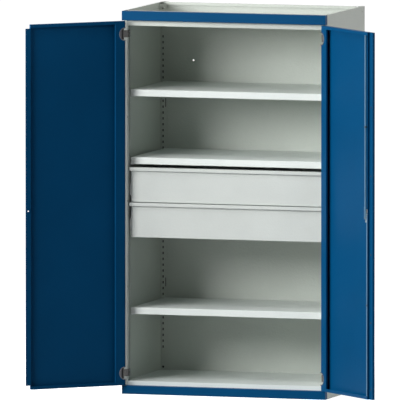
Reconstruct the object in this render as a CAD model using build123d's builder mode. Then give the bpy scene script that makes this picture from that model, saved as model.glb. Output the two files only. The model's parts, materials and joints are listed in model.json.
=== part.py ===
from build123d import *
import os
from math import cos, radians

os.makedirs("parts", exist_ok=True)

# Heavy-duty storage cabinet with two hinged doors, three shelves and two drawers.
# Millimetres. X runs to the right, Y to the back, Z up. The origin lies on the floor,
# under the middle of the footprint, on the underside of the centre base rail.

# Overall size
width = 1080.0
depth = 685.0
height = 1950.0
sheet = 1.5
bend_radius = 3.0
fit_gap = 0.2

# Front zone, in front of the jambs
door_zone = 34.0
fascia_height = 48.0
plinth_height = 43.0
front_box_lip = 14.0

# Carcass
floor_height = 65.0
jamb_width = 22.0
jamb_lip = 26.0
jamb_slot_heights = (545.0, 980.0, 1410.0)
jamb_slot_size = 10.0
rear_return = 36.0
wall_inset = 35.0
top_lip = 12.0
rail_drop = 77.0
rail_return = 20.0
tray_depth = 55.0
tray_flange = 20.0
back_hem_depth = 8.0
back_hem_height = 15.0
back_return = 15.0
wall_hole_spacing = 730.0
wall_hole_drop = 296.0
wall_hole_radius = 4.5
link_hole_radius = 5.0
link_hole_drop = 25.0
link_hole_inset = 12.0
gusset_reach = 30.0
gusset_thickness = 2.0
gusset_height = 46.0
gusset_hole_radius = 6.0
base_rail_width = 40.0
base_rail_wall = 2.0
base_rail_spacing = 270.0

# Perforated posts
rear_flange_reach = 33.5
front_flange_reach = 22.5
front_post_inset = 32.0
hole_pitch = 30.0
first_hole_height = 183.0
last_hole_drop = 120.0
hole_width = 7.0
hole_height = 12.0
hole_inset = 12.5
hook_room = 6.0
weld_window_heights = (515.0, 1435.0)
weld_window_height = 45.0
weld_window_width = 4.0
weld_window_inset = 26.5
low_hole_height = 80.0
low_hole_radius = 6.0

# Shelves, each on the post hole of this number; a turned clip gives the half pitch
shelf_holes = (45, 32, 8)
shelf_clips_turned = (False, True, False)
shelf_edge = 35.0
shelf_return = 12.0
shelf_side_gap = 24.5
shelf_front_gap = 4.0
shelf_rear_gap = 2.3
stiffener_width = 40.0
stiffener_height = 25.0

# Shelf clips
clip_thickness = 2.0
clip_rise = 30.0
clip_hook_rise = 22.5
clip_width = 20.0
clip_ledge_reach = 18.0
clip_ledge_depth = 32.0
hook_width = 6.0
hook_height = 6.0
hook_drop = 4.0
hook_thickness = 1.8

# Drawers, each hung on the post hole of this number and the next one
drawer_holes = (28, 22)
drawer_height = 177.0
drawer_drop = 63.0
drawer_face_setback = 52.0
drawer_face_depth = 12.0
drawer_face_lip = 14.0
drawer_face_side_gap = 11.0
grip_side_gap = 6.0
grip_height = 18.0
grip_reach = 14.0
grip_hem = 4.0
drawer_rear_gap = 30.0
drawer_box_height = 136.0
drawer_box_lift = 14.0
drawer_wall = 1.2
drawer_rim = 8.0

# Telescopic drawer slides, one inside the other
slide_rear_gap = 27.0
slide_space = 18.5
outer_rail_height = 46.0
middle_rail_height = 41.5
inner_rail_height = 37.0
rail_wall = 2.0
outer_rail_width = 10.5
middle_rail_width = 11.0
inner_rail_width = 11.0
carrier_thickness = 2.0
carrier_height = 64.0
carrier_side_gap = 36.0
carrier_tab_gap = 4.5

# Doors
door_gap = 2.5
door_side_gap = 0.5
door_thickness = 26.0
door_opening = 135.0
meeting_gap = 3.0
hinge_strip = 61.0
hinge_strip_lip = 9.0
hinge_corner_radius = 12.0
door_end_flange = 16.0
overlap_depth = 16.0
overlap_lip = 30.0
overlap_lip_short = 20.0
overlap_hole_height = 953.0
overlap_hole_radius = 4.0
rebate_depth = 14.0
rebate_width = 32.0

# Hinges
low_hinge_height = 107.0
top_hinge_drop = 117.0
pin_inset = 6.0
pin_radius = 2.5
pin_fit = 0.05
pin_seat_fit = 0.02
eye_radius = 4.2
arm_thickness = 4.5
arm_height = 36.0
barrel_gap = 0.8
cup_radius = 31.0
cup_fit = 0.05
hinge_screw_radius = 3.0
hinge_screw_fit = 0.1
hinge_screw_spacing = 20.0
hinge_screw_inset = 17.0
hinge_screw_head_radius = 5.5
hinge_screw_head = 3.0

# Lock on the right door
lock_height = 970.0
lock_inset = 58.0
dish_radius = 24.0
dish_flange_radius = 28.0
dish_flange = 2.0
dish_depth = 10.0
dish_wall = 1.5
dish_fit = 0.05
case_width = 36.0
case_height = 68.0
case_plate = 3.5
case_leg = 8.0
case_corner_radius = 3.0
case_screw_radius = 2.5
case_screw_head_radius = 4.5
case_screw_head = 2.0
case_screw_inset_x = 4.5
case_screw_inset_z = 4.5
case_screw_length = 9.0
spindle_radius = 5.0
spindle_fit = 0.2
cam_clearance = 0.3
cam_thickness = 3.0
cam_radius = 15.0
cam_width = 13.0
cam_turn = 90.0
cam_pin_radius = 3.0
cam_pin_height = 3.8
cam_hub_radius = 10.0
grip_hub_radius = 11.0
grip_bar_length = 42.0
grip_bar_width = 13.0
grip_proud = 12.0
grip_bar_height = 18.0
grip_edge_radius = 3.0
key_radius = 6.0
key_length = 10.4
key_proud = 0.5
key_slot_width = 1.5
key_slot_length = 7.0
key_slot_depth = 5.0

# Locking rods
rod_radius = 5.0
rod_depth = 18.0
rod_tip_proud = 1.0
rod_end_thickness = 3.0
rod_end_clearance = 0.4
rod_end_half_width = 6.5
rod_end_length = 44.0
rod_round_start = 38.0
rod_slot_play = 0.8
rod_slot_margin = 0.5
rod_slot_wall = 3.0
rod_guide_offset = 450.0
rod_guide_height = 10.0
rod_guide_width = 16.0
rod_guide_fit = 0.06
rod_hole_fit = 0.3
keeper_radius = 6.5

# Rubber buffers between the meeting edges
buffer_heights = (96.0, 433.0, 777.0, 1174.0, 1521.0)
buffer_radius = 4.0
buffer_inset = 16.0
buffer_gap = 0.3

# Places worked out from the sizes above
side_x = width / 2
front_y = -depth / 2
back_y = depth / 2
skin_x = side_x - sheet
jamb_y = front_y + door_zone
jamb_x = side_x - jamb_width
lip_end_y = jamb_y + jamb_lip
tongue_x = jamb_x - fit_gap
roof_z = height - tray_depth
fascia_z = height - fascia_height
rail_z = height - rail_drop
wall_hole_height = height - wall_hole_drop
link_hole_height = height - link_hole_drop
hole_count = int((roof_z - last_hole_drop - first_hole_height) // hole_pitch) + 1
rear_post_y = back_y - wall_inset
back_panel_y = rear_post_y + hook_room
rear_skirt_y = back_y - bend_radius
rear_flange_x = skin_x - rear_flange_reach
front_post_y = jamb_y + front_post_inset
front_flange_x = skin_x - front_flange_reach
hole_x = skin_x - hole_inset
back_panel_x = skin_x - sheet
shelf_x = skin_x - shelf_side_gap
shelf_front_y = front_post_y + shelf_front_gap
shelf_rear_y = rear_post_y - shelf_rear_gap
drawer_face_y = front_y + drawer_face_setback
drawer_face_x = jamb_x - drawer_face_side_gap
grip_x = jamb_x - grip_side_gap
carrier_x = skin_x - carrier_side_gap
carrier_tab_x = skin_x - carrier_tab_gap
box_x = carrier_x - slide_space
drawer_box_y = drawer_face_y + drawer_face_depth
drawer_rear_y = rear_post_y - drawer_rear_gap
slide_start_y = front_post_y + carrier_thickness
slide_length = rear_post_y - slide_rear_gap - slide_start_y
door_edge_x = side_x - door_side_gap
door_inner_y = front_y + door_thickness
door_bottom = plinth_height + door_gap
door_top = fascia_z - door_gap
meeting_x = meeting_gap / 2
hinge_x = door_edge_x - pin_inset
hinge_y = front_y + pin_inset
hinge_heights = (low_hinge_height, height - top_hinge_drop)
lock_x = meeting_x + lock_inset
case_y = front_y + dish_depth
cam_y = case_y + case_plate + cam_clearance
rod_y = front_y + rod_depth
rod_end_y = cam_y + cam_thickness + rod_end_clearance
rod_offset = cam_radius * cos(radians(cam_turn / 2))
upper_rod_x = lock_x + rod_offset
lower_rod_x = lock_x - rod_offset


def shifted(path, amount):
    """Points of a path moved sideways to its left, with mitred corners."""
    points = [Vector(x, y) for x, y in path]
    runs = [(b - a).normalized() for a, b in zip(points, points[1:])]
    normals = [Vector(-run.Y, run.X) for run in runs]
    moved = [points[0] + normals[0] * amount]
    for point, before, after in zip(points[1:], normals, normals[1:]):
        moved.append(point + (before + after) * (amount / (1 + before.dot(after))))
    moved.append(points[-1] + normals[-1] * amount)
    return moved


def bend(plane, path, length, thickness=sheet, radii=None):
    """A sheet folded along a path, its thickness to the left, drawn out from a plane."""
    outer, inner = shifted(path, 0), shifted(path, thickness)
    if radii is None:
        radii = [bend_radius] * (len(path) - 2)
    with BuildSketch(plane) as section:
        Polygon(*outer, *reversed(inner), align=None)
        for n, radius in enumerate(radii, start=1):
            before, after = outer[n] - outer[n - 1], outer[n + 1] - outer[n]
            turns_left = before.cross(after).Z > 0
            convex, hollow = (outer[n], inner[n]) if turns_left else (inner[n], outer[n])
            fillet(section.vertices().sort_by_distance(convex)[0], radius)
            fillet(section.vertices().sort_by_distance(hollow)[0], radius - thickness)
    extrude(section.sketch, amount=length)


def slab(x_range, y_range, z_range, mode=Mode.ADD):
    """A rectangular block between two corners, added or cut away."""
    (x0, x1), (y0, y1), (z0, z1) = x_range, y_range, z_range
    with Locations(((x0 + x1) / 2, (y0 + y1) / 2, (z0 + z1) / 2)):
        Box(abs(x1 - x0), abs(y1 - y0), abs(z1 - z0), mode=mode)


def round_bar(point, direction, radius, length, mode=Mode.ADD):
    """A cylinder that starts at a point and runs along a direction."""
    with Locations(Plane(point, z_dir=direction)):
        Cylinder(radius, length, align=(Align.CENTER, Align.CENTER, Align.MIN), mode=mode)


def hole_z(number):
    """Height of a post hole, counted from the lowest."""
    return first_hole_height + number * hole_pitch


def shelf_bottom(number):
    """Height of a shelf's underside, from its clips' hole and which way up they are."""
    rise = -clip_hook_rise if shelf_clips_turned[number] else clip_hook_rise
    return hole_z(shelf_holes[number]) - rise + clip_thickness / 2


def swing(part, side):
    """A closed door's piece, turned about its hinge to where the open door stands."""
    hinge_line = Axis((side * hinge_x, hinge_y, 0), (0, 0, 1))
    return part.rotate(hinge_line, side * door_opening)


def keep(piece, name):
    """Labels a finished piece and writes it."""
    piece.part.label = name
    export_step(piece.part, f"parts/{name}.step")


# Side panels: skin, folded jamb with its lip, rear return and top lip
with BuildPart() as left_side_panel:
    bend(
        Plane.XY,
        [
            (-side_x + rear_return, back_y),
            (-side_x, back_y),
            (-side_x, jamb_y),
            (-jamb_x, jamb_y),
            (-jamb_x, lip_end_y),
        ],
        height,
    )
    slab(
        (-side_x, -side_x + top_lip),
        (lip_end_y, back_y - bend_radius),
        (height - sheet, height),
    )
    round_bar(
        (-side_x - sheet, rear_post_y - link_hole_inset, link_hole_height),
        (1, 0, 0),
        link_hole_radius,
        3 * sheet,
        Mode.SUBTRACT,
    )
    for z in jamb_slot_heights:
        slab(
            (-jamb_x - 2 * sheet, -jamb_x + sheet),
            (jamb_y - sheet, jamb_y + jamb_slot_size / 2),
            (z - jamb_slot_size / 2, z + jamb_slot_size / 2),
            Mode.SUBTRACT,
        )
    for z in hinge_heights:
        for step in (-0.5, 0.5):
            round_bar(
                (-jamb_x - 2 * sheet, jamb_y + hinge_screw_inset, z + step * hinge_screw_spacing),
                (1, 0, 0),
                hinge_screw_radius + hinge_screw_fit,
                4 * sheet,
                Mode.SUBTRACT,
            )
keep(left_side_panel, "left_side_panel")

with BuildPart() as right_side_panel:
    mirror(left_side_panel.part, about=Plane.YZ)
keep(right_side_panel, "right_side_panel")

# Back wall, set in from the rear edges, with a folded rim along its top
with BuildPart() as back_panel:
    bend(
        Plane.XY.offset(floor_height),
        [
            (-back_panel_x, back_panel_y + back_return),
            (-back_panel_x, back_panel_y),
            (back_panel_x, back_panel_y),
            (back_panel_x, back_panel_y + back_return),
        ],
        height - sheet - floor_height,
    )
    rim_x = rear_flange_x - sheet
    slab(
        (-rim_x, rim_x),
        (back_panel_y - back_hem_depth, back_panel_y + sheet),
        (height - sheet, height),
    )
    slab(
        (-rim_x, rim_x),
        (back_panel_y - back_hem_depth, back_panel_y - back_hem_depth + sheet),
        (height - back_hem_height, height),
    )
    for side in (-1, 1):
        round_bar(
            (side * wall_hole_spacing / 2, back_panel_y - sheet, wall_hole_height),
            (0, 1, 0),
            wall_hole_radius,
            4 * sheet,
            Mode.SUBTRACT,
        )
keep(back_panel, "back_panel")

# Recessed roof, the bottom of the open tray on top
with BuildPart() as roof_tray:
    roof_range = (roof_z - sheet, roof_z)
    flange_range = (roof_z - sheet, roof_z + tray_flange)
    rear_tongue_x = rear_flange_x - fit_gap
    slab((-skin_x, skin_x), (lip_end_y + fit_gap, rear_post_y), roof_range)
    slab((-tongue_x, tongue_x), (jamb_y + sheet, lip_end_y + sheet), roof_range)
    slab((-rear_tongue_x, rear_tongue_x), (rear_post_y - sheet, back_panel_y), roof_range)
    slab((-tongue_x, tongue_x), (jamb_y + sheet, jamb_y + 2 * sheet), flange_range)
    slab((-rear_tongue_x, rear_tongue_x), (back_panel_y - sheet, back_panel_y), flange_range)
    for side in (-1, 1):
        slab(
            (side * skin_x, side * (skin_x - sheet)),
            (lip_end_y + fit_gap, rear_post_y),
            flange_range,
        )
keep(roof_tray, "roof_tray")

# Front rail between the jambs, under and behind the fascia
with BuildPart() as top_front_rail:
    bend(
        Plane.YZ.offset(-tongue_x),
        [
            (jamb_y + rail_return, height),
            (jamb_y, height),
            (jamb_y, rail_z),
            (jamb_y + rail_return, rail_z),
        ],
        2 * tongue_x,
    )
keep(top_front_rail, "top_front_rail")


def front_box(bottom, top):
    """A shallow box across the front, open at the rear inside a lip all round."""
    slab((-side_x, side_x), (front_y, jamb_y), (bottom, top))
    corners = faces().sort_by(Axis.Y)[0].edges().filter_by(Axis.X)
    fillet(corners, bend_radius)
    inside = side_x - sheet
    slab(
        (-inside, inside),
        (front_y + sheet, jamb_y - sheet),
        (bottom + sheet, top - sheet),
        Mode.SUBTRACT,
    )
    window = side_x - front_box_lip
    slab(
        (-window, window),
        (jamb_y - 2 * sheet, jamb_y + sheet),
        (bottom + front_box_lip, top - front_box_lip),
        Mode.SUBTRACT,
    )


with BuildPart() as fascia:
    front_box(fascia_z, height)
    round_bar((upper_rod_x, rod_y, fascia_z - sheet), (0, 0, 1), keeper_radius, 3 * sheet, Mode.SUBTRACT)
keep(fascia, "fascia")

with BuildPart() as plinth:
    front_box(0, plinth_height)
    round_bar(
        (lower_rod_x, rod_y, plinth_height - 2 * sheet), (0, 0, 1), keeper_radius, 3 * sheet, Mode.SUBTRACT
    )
keep(plinth, "plinth")

# Cabinet floor on its folded skirts
with BuildPart() as floor_pan:
    floor_range = (floor_height - sheet, floor_height)
    slab((-skin_x, skin_x), (lip_end_y + fit_gap, rear_skirt_y), floor_range)
    slab((-tongue_x, tongue_x), (jamb_y, lip_end_y + sheet), floor_range)
    slab((-tongue_x, tongue_x), (jamb_y, jamb_y + sheet), (0, floor_height))
    slab((-skin_x, skin_x), (rear_skirt_y - sheet, rear_skirt_y), (0, floor_height))
    for side in (-1, 1):
        slab(
            (side * skin_x, side * (skin_x - sheet)),
            (lip_end_y + fit_gap, rear_skirt_y),
            (0, floor_height),
        )
keep(floor_pan, "floor_pan")


def base_rail(x):
    """A rectangular tube under the cabinet floor, from front to back."""
    half, wall = base_rail_width / 2, base_rail_wall
    y_range = (jamb_y + sheet, rear_skirt_y - sheet)
    top = floor_height - sheet
    slab((x - half, x + half), y_range, (0, top))
    slab((x - half + wall, x + half - wall), y_range, (wall, top - wall), Mode.SUBTRACT)


with BuildPart() as base_rail_centre:
    base_rail(0)
keep(base_rail_centre, "base_rail_centre")

with BuildPart() as base_rails_side:
    base_rail(-base_rail_spacing)
    base_rail(base_rail_spacing)
keep(base_rails_side, "base_rails_side")


def post_holes(flange_y):
    """Cuts the row of shelf holes through a post's flange."""
    places = [(-hole_x, flange_y, hole_z(n)) for n in range(hole_count)]
    with Locations(*places):
        Box(hole_width, 4 * sheet, hole_height, mode=Mode.SUBTRACT)


# Rear posts: an angle in each rear corner, its flange facing the front
with BuildPart() as left_rear_post:
    bend(
        Plane.XY.offset(floor_height),
        [
            (-skin_x, back_y - bend_radius),
            (-skin_x, rear_post_y),
            (-rear_flange_x, rear_post_y),
        ],
        height - sheet - floor_height,
    )
    post_holes(rear_post_y)
    for z in weld_window_heights:
        window_x = -skin_x + weld_window_inset
        slab(
            (window_x - weld_window_width / 2, window_x + weld_window_width / 2),
            (rear_post_y - sheet, rear_post_y + 2 * sheet),
            (z - weld_window_height / 2, z + weld_window_height / 2),
            Mode.SUBTRACT,
        )
    round_bar(
        (-hole_x, rear_post_y - sheet, low_hole_height),
        (0, 1, 0),
        low_hole_radius,
        4 * sheet,
        Mode.SUBTRACT,
    )
keep(left_rear_post, "left_rear_post")

with BuildPart() as right_rear_post:
    mirror(left_rear_post.part, about=Plane.YZ)
keep(right_rear_post, "right_rear_post")

# Front posts: angles hidden behind the jambs, with the same row of holes
with BuildPart() as left_front_post:
    bend(
        Plane.XY.offset(floor_height),
        [
            (-front_flange_x, front_post_y),
            (-skin_x, front_post_y),
            (-skin_x, jamb_y + bend_radius),
        ],
        roof_z - sheet - floor_height,
    )
    post_holes(front_post_y)
keep(left_front_post, "left_front_post")

with BuildPart() as right_front_post:
    mirror(left_front_post.part, about=Plane.YZ)
keep(right_front_post, "right_front_post")

# Gussets across the rear corners of the top tray
with BuildPart() as tray_gussets:
    slant = gusset_thickness * 2**0.5
    for side in (-1, 1):
        with BuildSketch(Plane.XY.offset(roof_z)) as gusset_plan:
            Polygon(
                (side * (skin_x - sheet), rear_post_y - gusset_reach),
                (side * (skin_x - sheet - gusset_reach), rear_post_y),
                (side * (skin_x - sheet - gusset_reach + slant), rear_post_y),
                (side * (skin_x - sheet), rear_post_y - gusset_reach + slant),
                align=None,
            )
        extrude(amount=gusset_height)
        middle = (
            side * (skin_x - sheet - gusset_reach / 2),
            rear_post_y - gusset_reach / 2,
            roof_z + gusset_height / 2,
        )
        with Locations(Plane(middle, z_dir=(side, 1, 0))):
            Cylinder(gusset_hole_radius, 6 * gusset_thickness, mode=Mode.SUBTRACT)
keep(tray_gussets, "tray_gussets")

# Shelves: pans with deep folded edges, open below
for number in range(len(shelf_holes)):
    low = shelf_bottom(number)
    high = low + shelf_edge
    with BuildPart() as shelf:
        slab((-shelf_x, shelf_x), (shelf_front_y, shelf_rear_y), (low, high))
        front_edges = shelf.faces().sort_by(Axis.Y)[0].edges().filter_by(Axis.X)
        fillet(front_edges, bend_radius)
        slab(
            (-shelf_x + sheet, shelf_x - sheet),
            (shelf_front_y + sheet, shelf_rear_y - sheet),
            (low + sheet, high - sheet),
            Mode.SUBTRACT,
        )
        slab(
            (-shelf_x + shelf_return, shelf_x - shelf_return),
            (shelf_front_y + shelf_return, shelf_rear_y - shelf_return),
            (low - sheet, low + 2 * sheet),
            Mode.SUBTRACT,
        )
    keep(shelf, f"shelf_{number + 1}")

# One channel under each shelf, from side to side
with BuildPart() as shelf_stiffeners:
    middle_y = (shelf_front_y + shelf_rear_y) / 2
    inside_x = shelf_x - sheet
    for number in range(len(shelf_holes)):
        top = shelf_bottom(number) + shelf_edge - sheet
        low = top - stiffener_height
        half = stiffener_width / 2
        slab((-inside_x, inside_x), (middle_y - half, middle_y + half), (low, top))
        slab(
            (-inside_x, inside_x),
            (middle_y - half + sheet, middle_y + half - sheet),
            (low + sheet, top),
            Mode.SUBTRACT,
        )
keep(shelf_stiffeners, "shelf_stiffeners")


def hook(side, face_y, away, z):
    """A tab through a post hole with its nose turned down behind the flange."""
    x_range = (side * hole_x - hook_width / 2, side * hole_x + hook_width / 2)
    behind = face_y + away * (sheet + fit_gap)
    reach = behind + away * hook_thickness
    slab(x_range, (face_y, reach), (z - hook_height / 2, z + hook_height / 2))
    slab(x_range, (behind, reach), (z - hook_height / 2 - hook_drop, z + hook_height / 2))


def shelf_clip(side, face_y, away, low, turned):
    """An angle clip: upright on the post, ledge under the shelf, hook in a hole."""
    outer_x = skin_x - clip_thickness
    inner_x = shelf_x - clip_ledge_reach
    upright = clip_rise * (-1 if turned else 1)
    root = low if turned else low - clip_thickness
    slab(
        (side * outer_x, side * (outer_x - clip_width)),
        (face_y, face_y - away * clip_thickness),
        (root, root + upright),
    )
    slab(
        (side * outer_x, side * inner_x),
        (face_y, face_y - away * clip_ledge_depth),
        (low - clip_thickness, low),
    )
    rise = -clip_hook_rise if turned else clip_hook_rise
    hook(side, face_y, away, low - clip_thickness / 2 + rise)


for name, face_y, away in (
    ("front_shelf_clips", front_post_y, -1),
    ("rear_shelf_clips", rear_post_y, 1),
):
    with BuildPart() as shelf_clips:
        for number, turned in enumerate(shelf_clips_turned):
            for side in (-1, 1):
                shelf_clip(side, face_y, away, shelf_bottom(number), turned)
    keep(shelf_clips, name)

# Carriers: plates hooked into the posts, which hold the drawer slides
with BuildPart() as slide_carriers:
    for first_hole in drawer_holes:
        middle_z = hole_z(first_hole) + hole_pitch / 2
        z_range = (middle_z - carrier_height / 2, middle_z + carrier_height / 2)
        for side in (-1, 1):
            inner, outer = side * carrier_x, side * carrier_tab_x
            slab((inner, inner + side * carrier_thickness), (front_post_y, rear_post_y), z_range)
            for face_y, away in ((front_post_y, -1), (rear_post_y, 1)):
                slab((inner, outer), (face_y, face_y - away * carrier_thickness), z_range)
                for z in (hole_z(first_hole), hole_z(first_hole + 1)):
                    hook(side, face_y, away, z)
keep(slide_carriers, "slide_carriers")


def rail(side, web_x, flange_x, overall, middle_z):
    """A channel-section slide rail, from its web to the tips of its flanges."""
    half = overall / 2
    z_range = (middle_z - half, middle_z + half)
    toward = 1 if flange_x > web_x else -1
    end_y = slide_start_y + slide_length
    slab((side * web_x, side * flange_x), (slide_start_y, end_y), z_range)
    slab(
        (side * (web_x + toward * rail_wall), side * (flange_x + toward * rail_wall)),
        (slide_start_y - sheet, end_y + sheet),
        (z_range[0] + rail_wall, z_range[1] - rail_wall),
        Mode.SUBTRACT,
    )


def drawer(number, first_hole):
    """Makes and keeps the pieces of one drawer, pushed in."""
    middle_z = hole_z(first_hole) + hole_pitch / 2
    low = middle_z - drawer_drop
    high = low + drawer_height
    name = f"drawer_{number}"

    with BuildPart() as face:
        slab((-drawer_face_x, drawer_face_x), (drawer_face_y, drawer_box_y), (low, high - sheet))
        front_edges = face.faces().sort_by(Axis.Y)[0].edges().sort_by(Axis.Z)[0]
        fillet(front_edges, bend_radius)
        slab(
            (-drawer_face_x + sheet, drawer_face_x - sheet),
            (drawer_face_y + sheet, drawer_box_y - sheet),
            (low + sheet, high - 2 * sheet),
            Mode.SUBTRACT,
        )
        slab(
            (-drawer_face_x + drawer_face_lip, drawer_face_x - drawer_face_lip),
            (drawer_box_y - 2 * sheet, drawer_box_y + sheet),
            (low + drawer_face_lip, high - sheet - drawer_face_lip),
            Mode.SUBTRACT,
        )
    keep(face, f"{name}_front")

    with BuildPart() as strip:
        bend(
            Plane.YZ.offset(-grip_x),
            [
                (drawer_box_y, high),
                (drawer_face_y - grip_reach, high),
                (drawer_face_y - grip_reach, high - grip_height),
                (drawer_face_y - grip_reach + grip_hem, high - grip_height),
            ],
            2 * grip_x,
        )
    keep(strip, f"{name}_grip_strip")

    with BuildPart() as box:
        floor_z = low + drawer_box_lift
        rim_z = floor_z + drawer_box_height
        slab((-box_x, box_x), (drawer_box_y, drawer_rear_y), (floor_z, rim_z))
        slab(
            (-box_x + drawer_wall, box_x - drawer_wall),
            (drawer_box_y + drawer_wall, drawer_rear_y - drawer_wall),
            (floor_z + drawer_wall, rim_z - drawer_wall),
            Mode.SUBTRACT,
        )
        slab(
            (-box_x + drawer_rim, box_x - drawer_rim),
            (drawer_box_y + drawer_rim, drawer_rear_y - drawer_rim),
            (rim_z - 2 * drawer_wall, rim_z + drawer_wall),
            Mode.SUBTRACT,
        )
    keep(box, f"{name}_box")

    outer_web = carrier_x
    middle_web = outer_web - rail_wall - fit_gap
    for label, web_x, flange_x, overall in (
        ("inner", box_x, box_x + inner_rail_width, inner_rail_height),
        ("middle", middle_web, middle_web - middle_rail_width, middle_rail_height),
        ("outer", outer_web, outer_web - outer_rail_width, outer_rail_height),
    ):
        with BuildPart() as rails:
            for side in (-1, 1):
                rail(side, web_x, flange_x, overall, middle_z)
        keep(rails, f"{name}_{label}_rails")


for number, first_hole in enumerate(drawer_holes, start=1):
    drawer(number, first_hole)


def door_outline(meeting_edge):
    """The closed outline of a door seen from above, drawn for the left-hand side."""
    corners = [(-door_edge_x, door_inner_y), (-door_edge_x, front_y), (-meeting_x, front_y)]
    return corners + meeting_edge


def door_end(z, meeting_edge):
    """The plate that closes a door's top or bottom."""
    corners = door_outline(meeting_edge)
    with BuildSketch(Plane.XY.offset(z)) as end_plan:
        Polygon(*corners, align=None)
        fillet(end_plan.vertices().sort_by_distance(corners[0])[0], hinge_corner_radius)
        for corner in corners[1:3]:
            fillet(end_plan.vertices().sort_by_distance(corner)[0], bend_radius)
    extrude(end_plan.sketch, amount=sheet)


def hinge_notch(radius, z, first_y, last_y, start_x, mode):
    """A half-round block at the hinge edge: cut as the notch, added as the cup."""
    round_bar((-door_edge_x + pin_inset, first_y, z), (0, 1, 0), radius, last_y - first_y, mode)
    slab((start_x, -door_edge_x + pin_inset), (first_y, last_y), (z - radius, z + radius), mode)


def door_shell(fold_path, radii, end_edge, flange_end):
    """A door drawn for the left-hand side: folded skin, end plates and end flanges."""
    door_height = door_top - door_bottom
    bend(Plane.XY.offset(door_bottom), fold_path, door_height, radii=radii)
    door_end(door_bottom, end_edge)
    door_end(door_top - sheet, end_edge)
    flange_x = (-door_edge_x + hinge_strip - sheet, flange_end)
    flange_y = (door_inner_y - sheet, door_inner_y)
    slab(flange_x, flange_y, (door_bottom, door_bottom + door_end_flange))
    slab(flange_x, flange_y, (door_top - door_end_flange, door_top))
    for z in hinge_heights:
        hinge_notch(
            cup_radius + cup_fit,
            z,
            front_y + sheet,
            door_inner_y + sheet,
            -door_edge_x - sheet,
            Mode.SUBTRACT,
        )


hinge_side_path = [
    (-door_edge_x + hinge_strip, door_inner_y - hinge_strip_lip),
    (-door_edge_x + hinge_strip, door_inner_y),
    (-door_edge_x, door_inner_y),
    (-door_edge_x, front_y),
    (-meeting_x, front_y),
]
hinge_side_radii = [bend_radius, hinge_corner_radius, bend_radius]

# Left door: its lip reaches behind the right door's meeting edge
with BuildPart() as left_door_closed:
    lip_y = front_y + overlap_depth
    lip_x = -meeting_x + overlap_lip
    door_shell(
        hinge_side_path + [(-meeting_x, lip_y), (lip_x, lip_y)],
        hinge_side_radii + [bend_radius, bend_radius],
        [(-meeting_x, lip_y), (-meeting_x - sheet, lip_y), (-meeting_x - sheet, door_inner_y)],
        -meeting_x - sheet,
    )
    for z in (door_bottom, door_top - overlap_lip_short):
        slab(
            (-meeting_x, lip_x + sheet),
            (lip_y - sheet, lip_y + 2 * sheet),
            (z, z + overlap_lip_short),
            Mode.SUBTRACT,
        )
    round_bar(
        ((lip_x - meeting_x) / 2, lip_y - sheet, overlap_hole_height),
        (0, 1, 0),
        overlap_hole_radius,
        4 * sheet,
        Mode.SUBTRACT,
    )

with BuildPart() as left_door_panel:
    add(swing(left_door_closed.part, -1))
keep(left_door_panel, "left_door_panel")

# Right door: rebated meeting edge, hole for the handle dish, holes for the rods
with BuildPart() as right_door_drawn:
    rebate_y = front_y + rebate_depth
    step_x = -meeting_x - rebate_width
    door_shell(
        hinge_side_path + [(-meeting_x, rebate_y), (step_x, rebate_y), (step_x, door_inner_y)],
        hinge_side_radii + [bend_radius, bend_radius, bend_radius],
        [(-meeting_x, rebate_y), (step_x, rebate_y), (step_x, door_inner_y)],
        step_x - sheet,
    )
    round_bar(
        (-lock_x, front_y - sheet, lock_height),
        (0, 1, 0),
        dish_radius + dish_fit,
        3 * sheet,
        Mode.SUBTRACT,
    )
    for x, z in ((-upper_rod_x, door_top), (-lower_rod_x, door_bottom)):
        round_bar((x, rod_y, z - 2 * sheet), (0, 0, 1), rod_radius + rod_hole_fit, 4 * sheet, Mode.SUBTRACT)

with BuildPart() as right_door_panel:
    add(swing(right_door_drawn.part.mirror(Plane.YZ), 1))
keep(right_door_panel, "right_door_panel")

# Hinge cups: half-round walls inside the notches, whose straight ears hold the pins
with BuildPart() as hinge_cups_closed:
    for z in hinge_heights:
        first_y, last_y = front_y + sheet, door_inner_y
        ear_x = -door_edge_x + fit_gap
        hinge_notch(cup_radius, z, first_y, last_y, ear_x, Mode.ADD)
        slab(
            (-door_edge_x - cup_radius, ear_x),
            (first_y - sheet, last_y + sheet),
            (z - cup_radius, z + cup_radius),
            Mode.SUBTRACT,
        )
        hinge_notch(
            cup_radius - sheet,
            z,
            first_y - sheet,
            last_y + sheet,
            -door_edge_x - cup_radius,
            Mode.SUBTRACT,
        )
        round_bar(
            (-hinge_x, hinge_y, z - 2 * cup_radius),
            (0, 0, 1),
            pin_radius + pin_fit,
            4 * cup_radius,
            Mode.SUBTRACT,
        )

with BuildPart() as left_hinge_cups:
    add(swing(hinge_cups_closed.part, -1))
keep(left_hinge_cups, "left_hinge_cups")

with BuildPart() as right_hinge_cups:
    add(swing(hinge_cups_closed.part.mirror(Plane.YZ), 1))
keep(right_hinge_cups, "right_hinge_cups")

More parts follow.
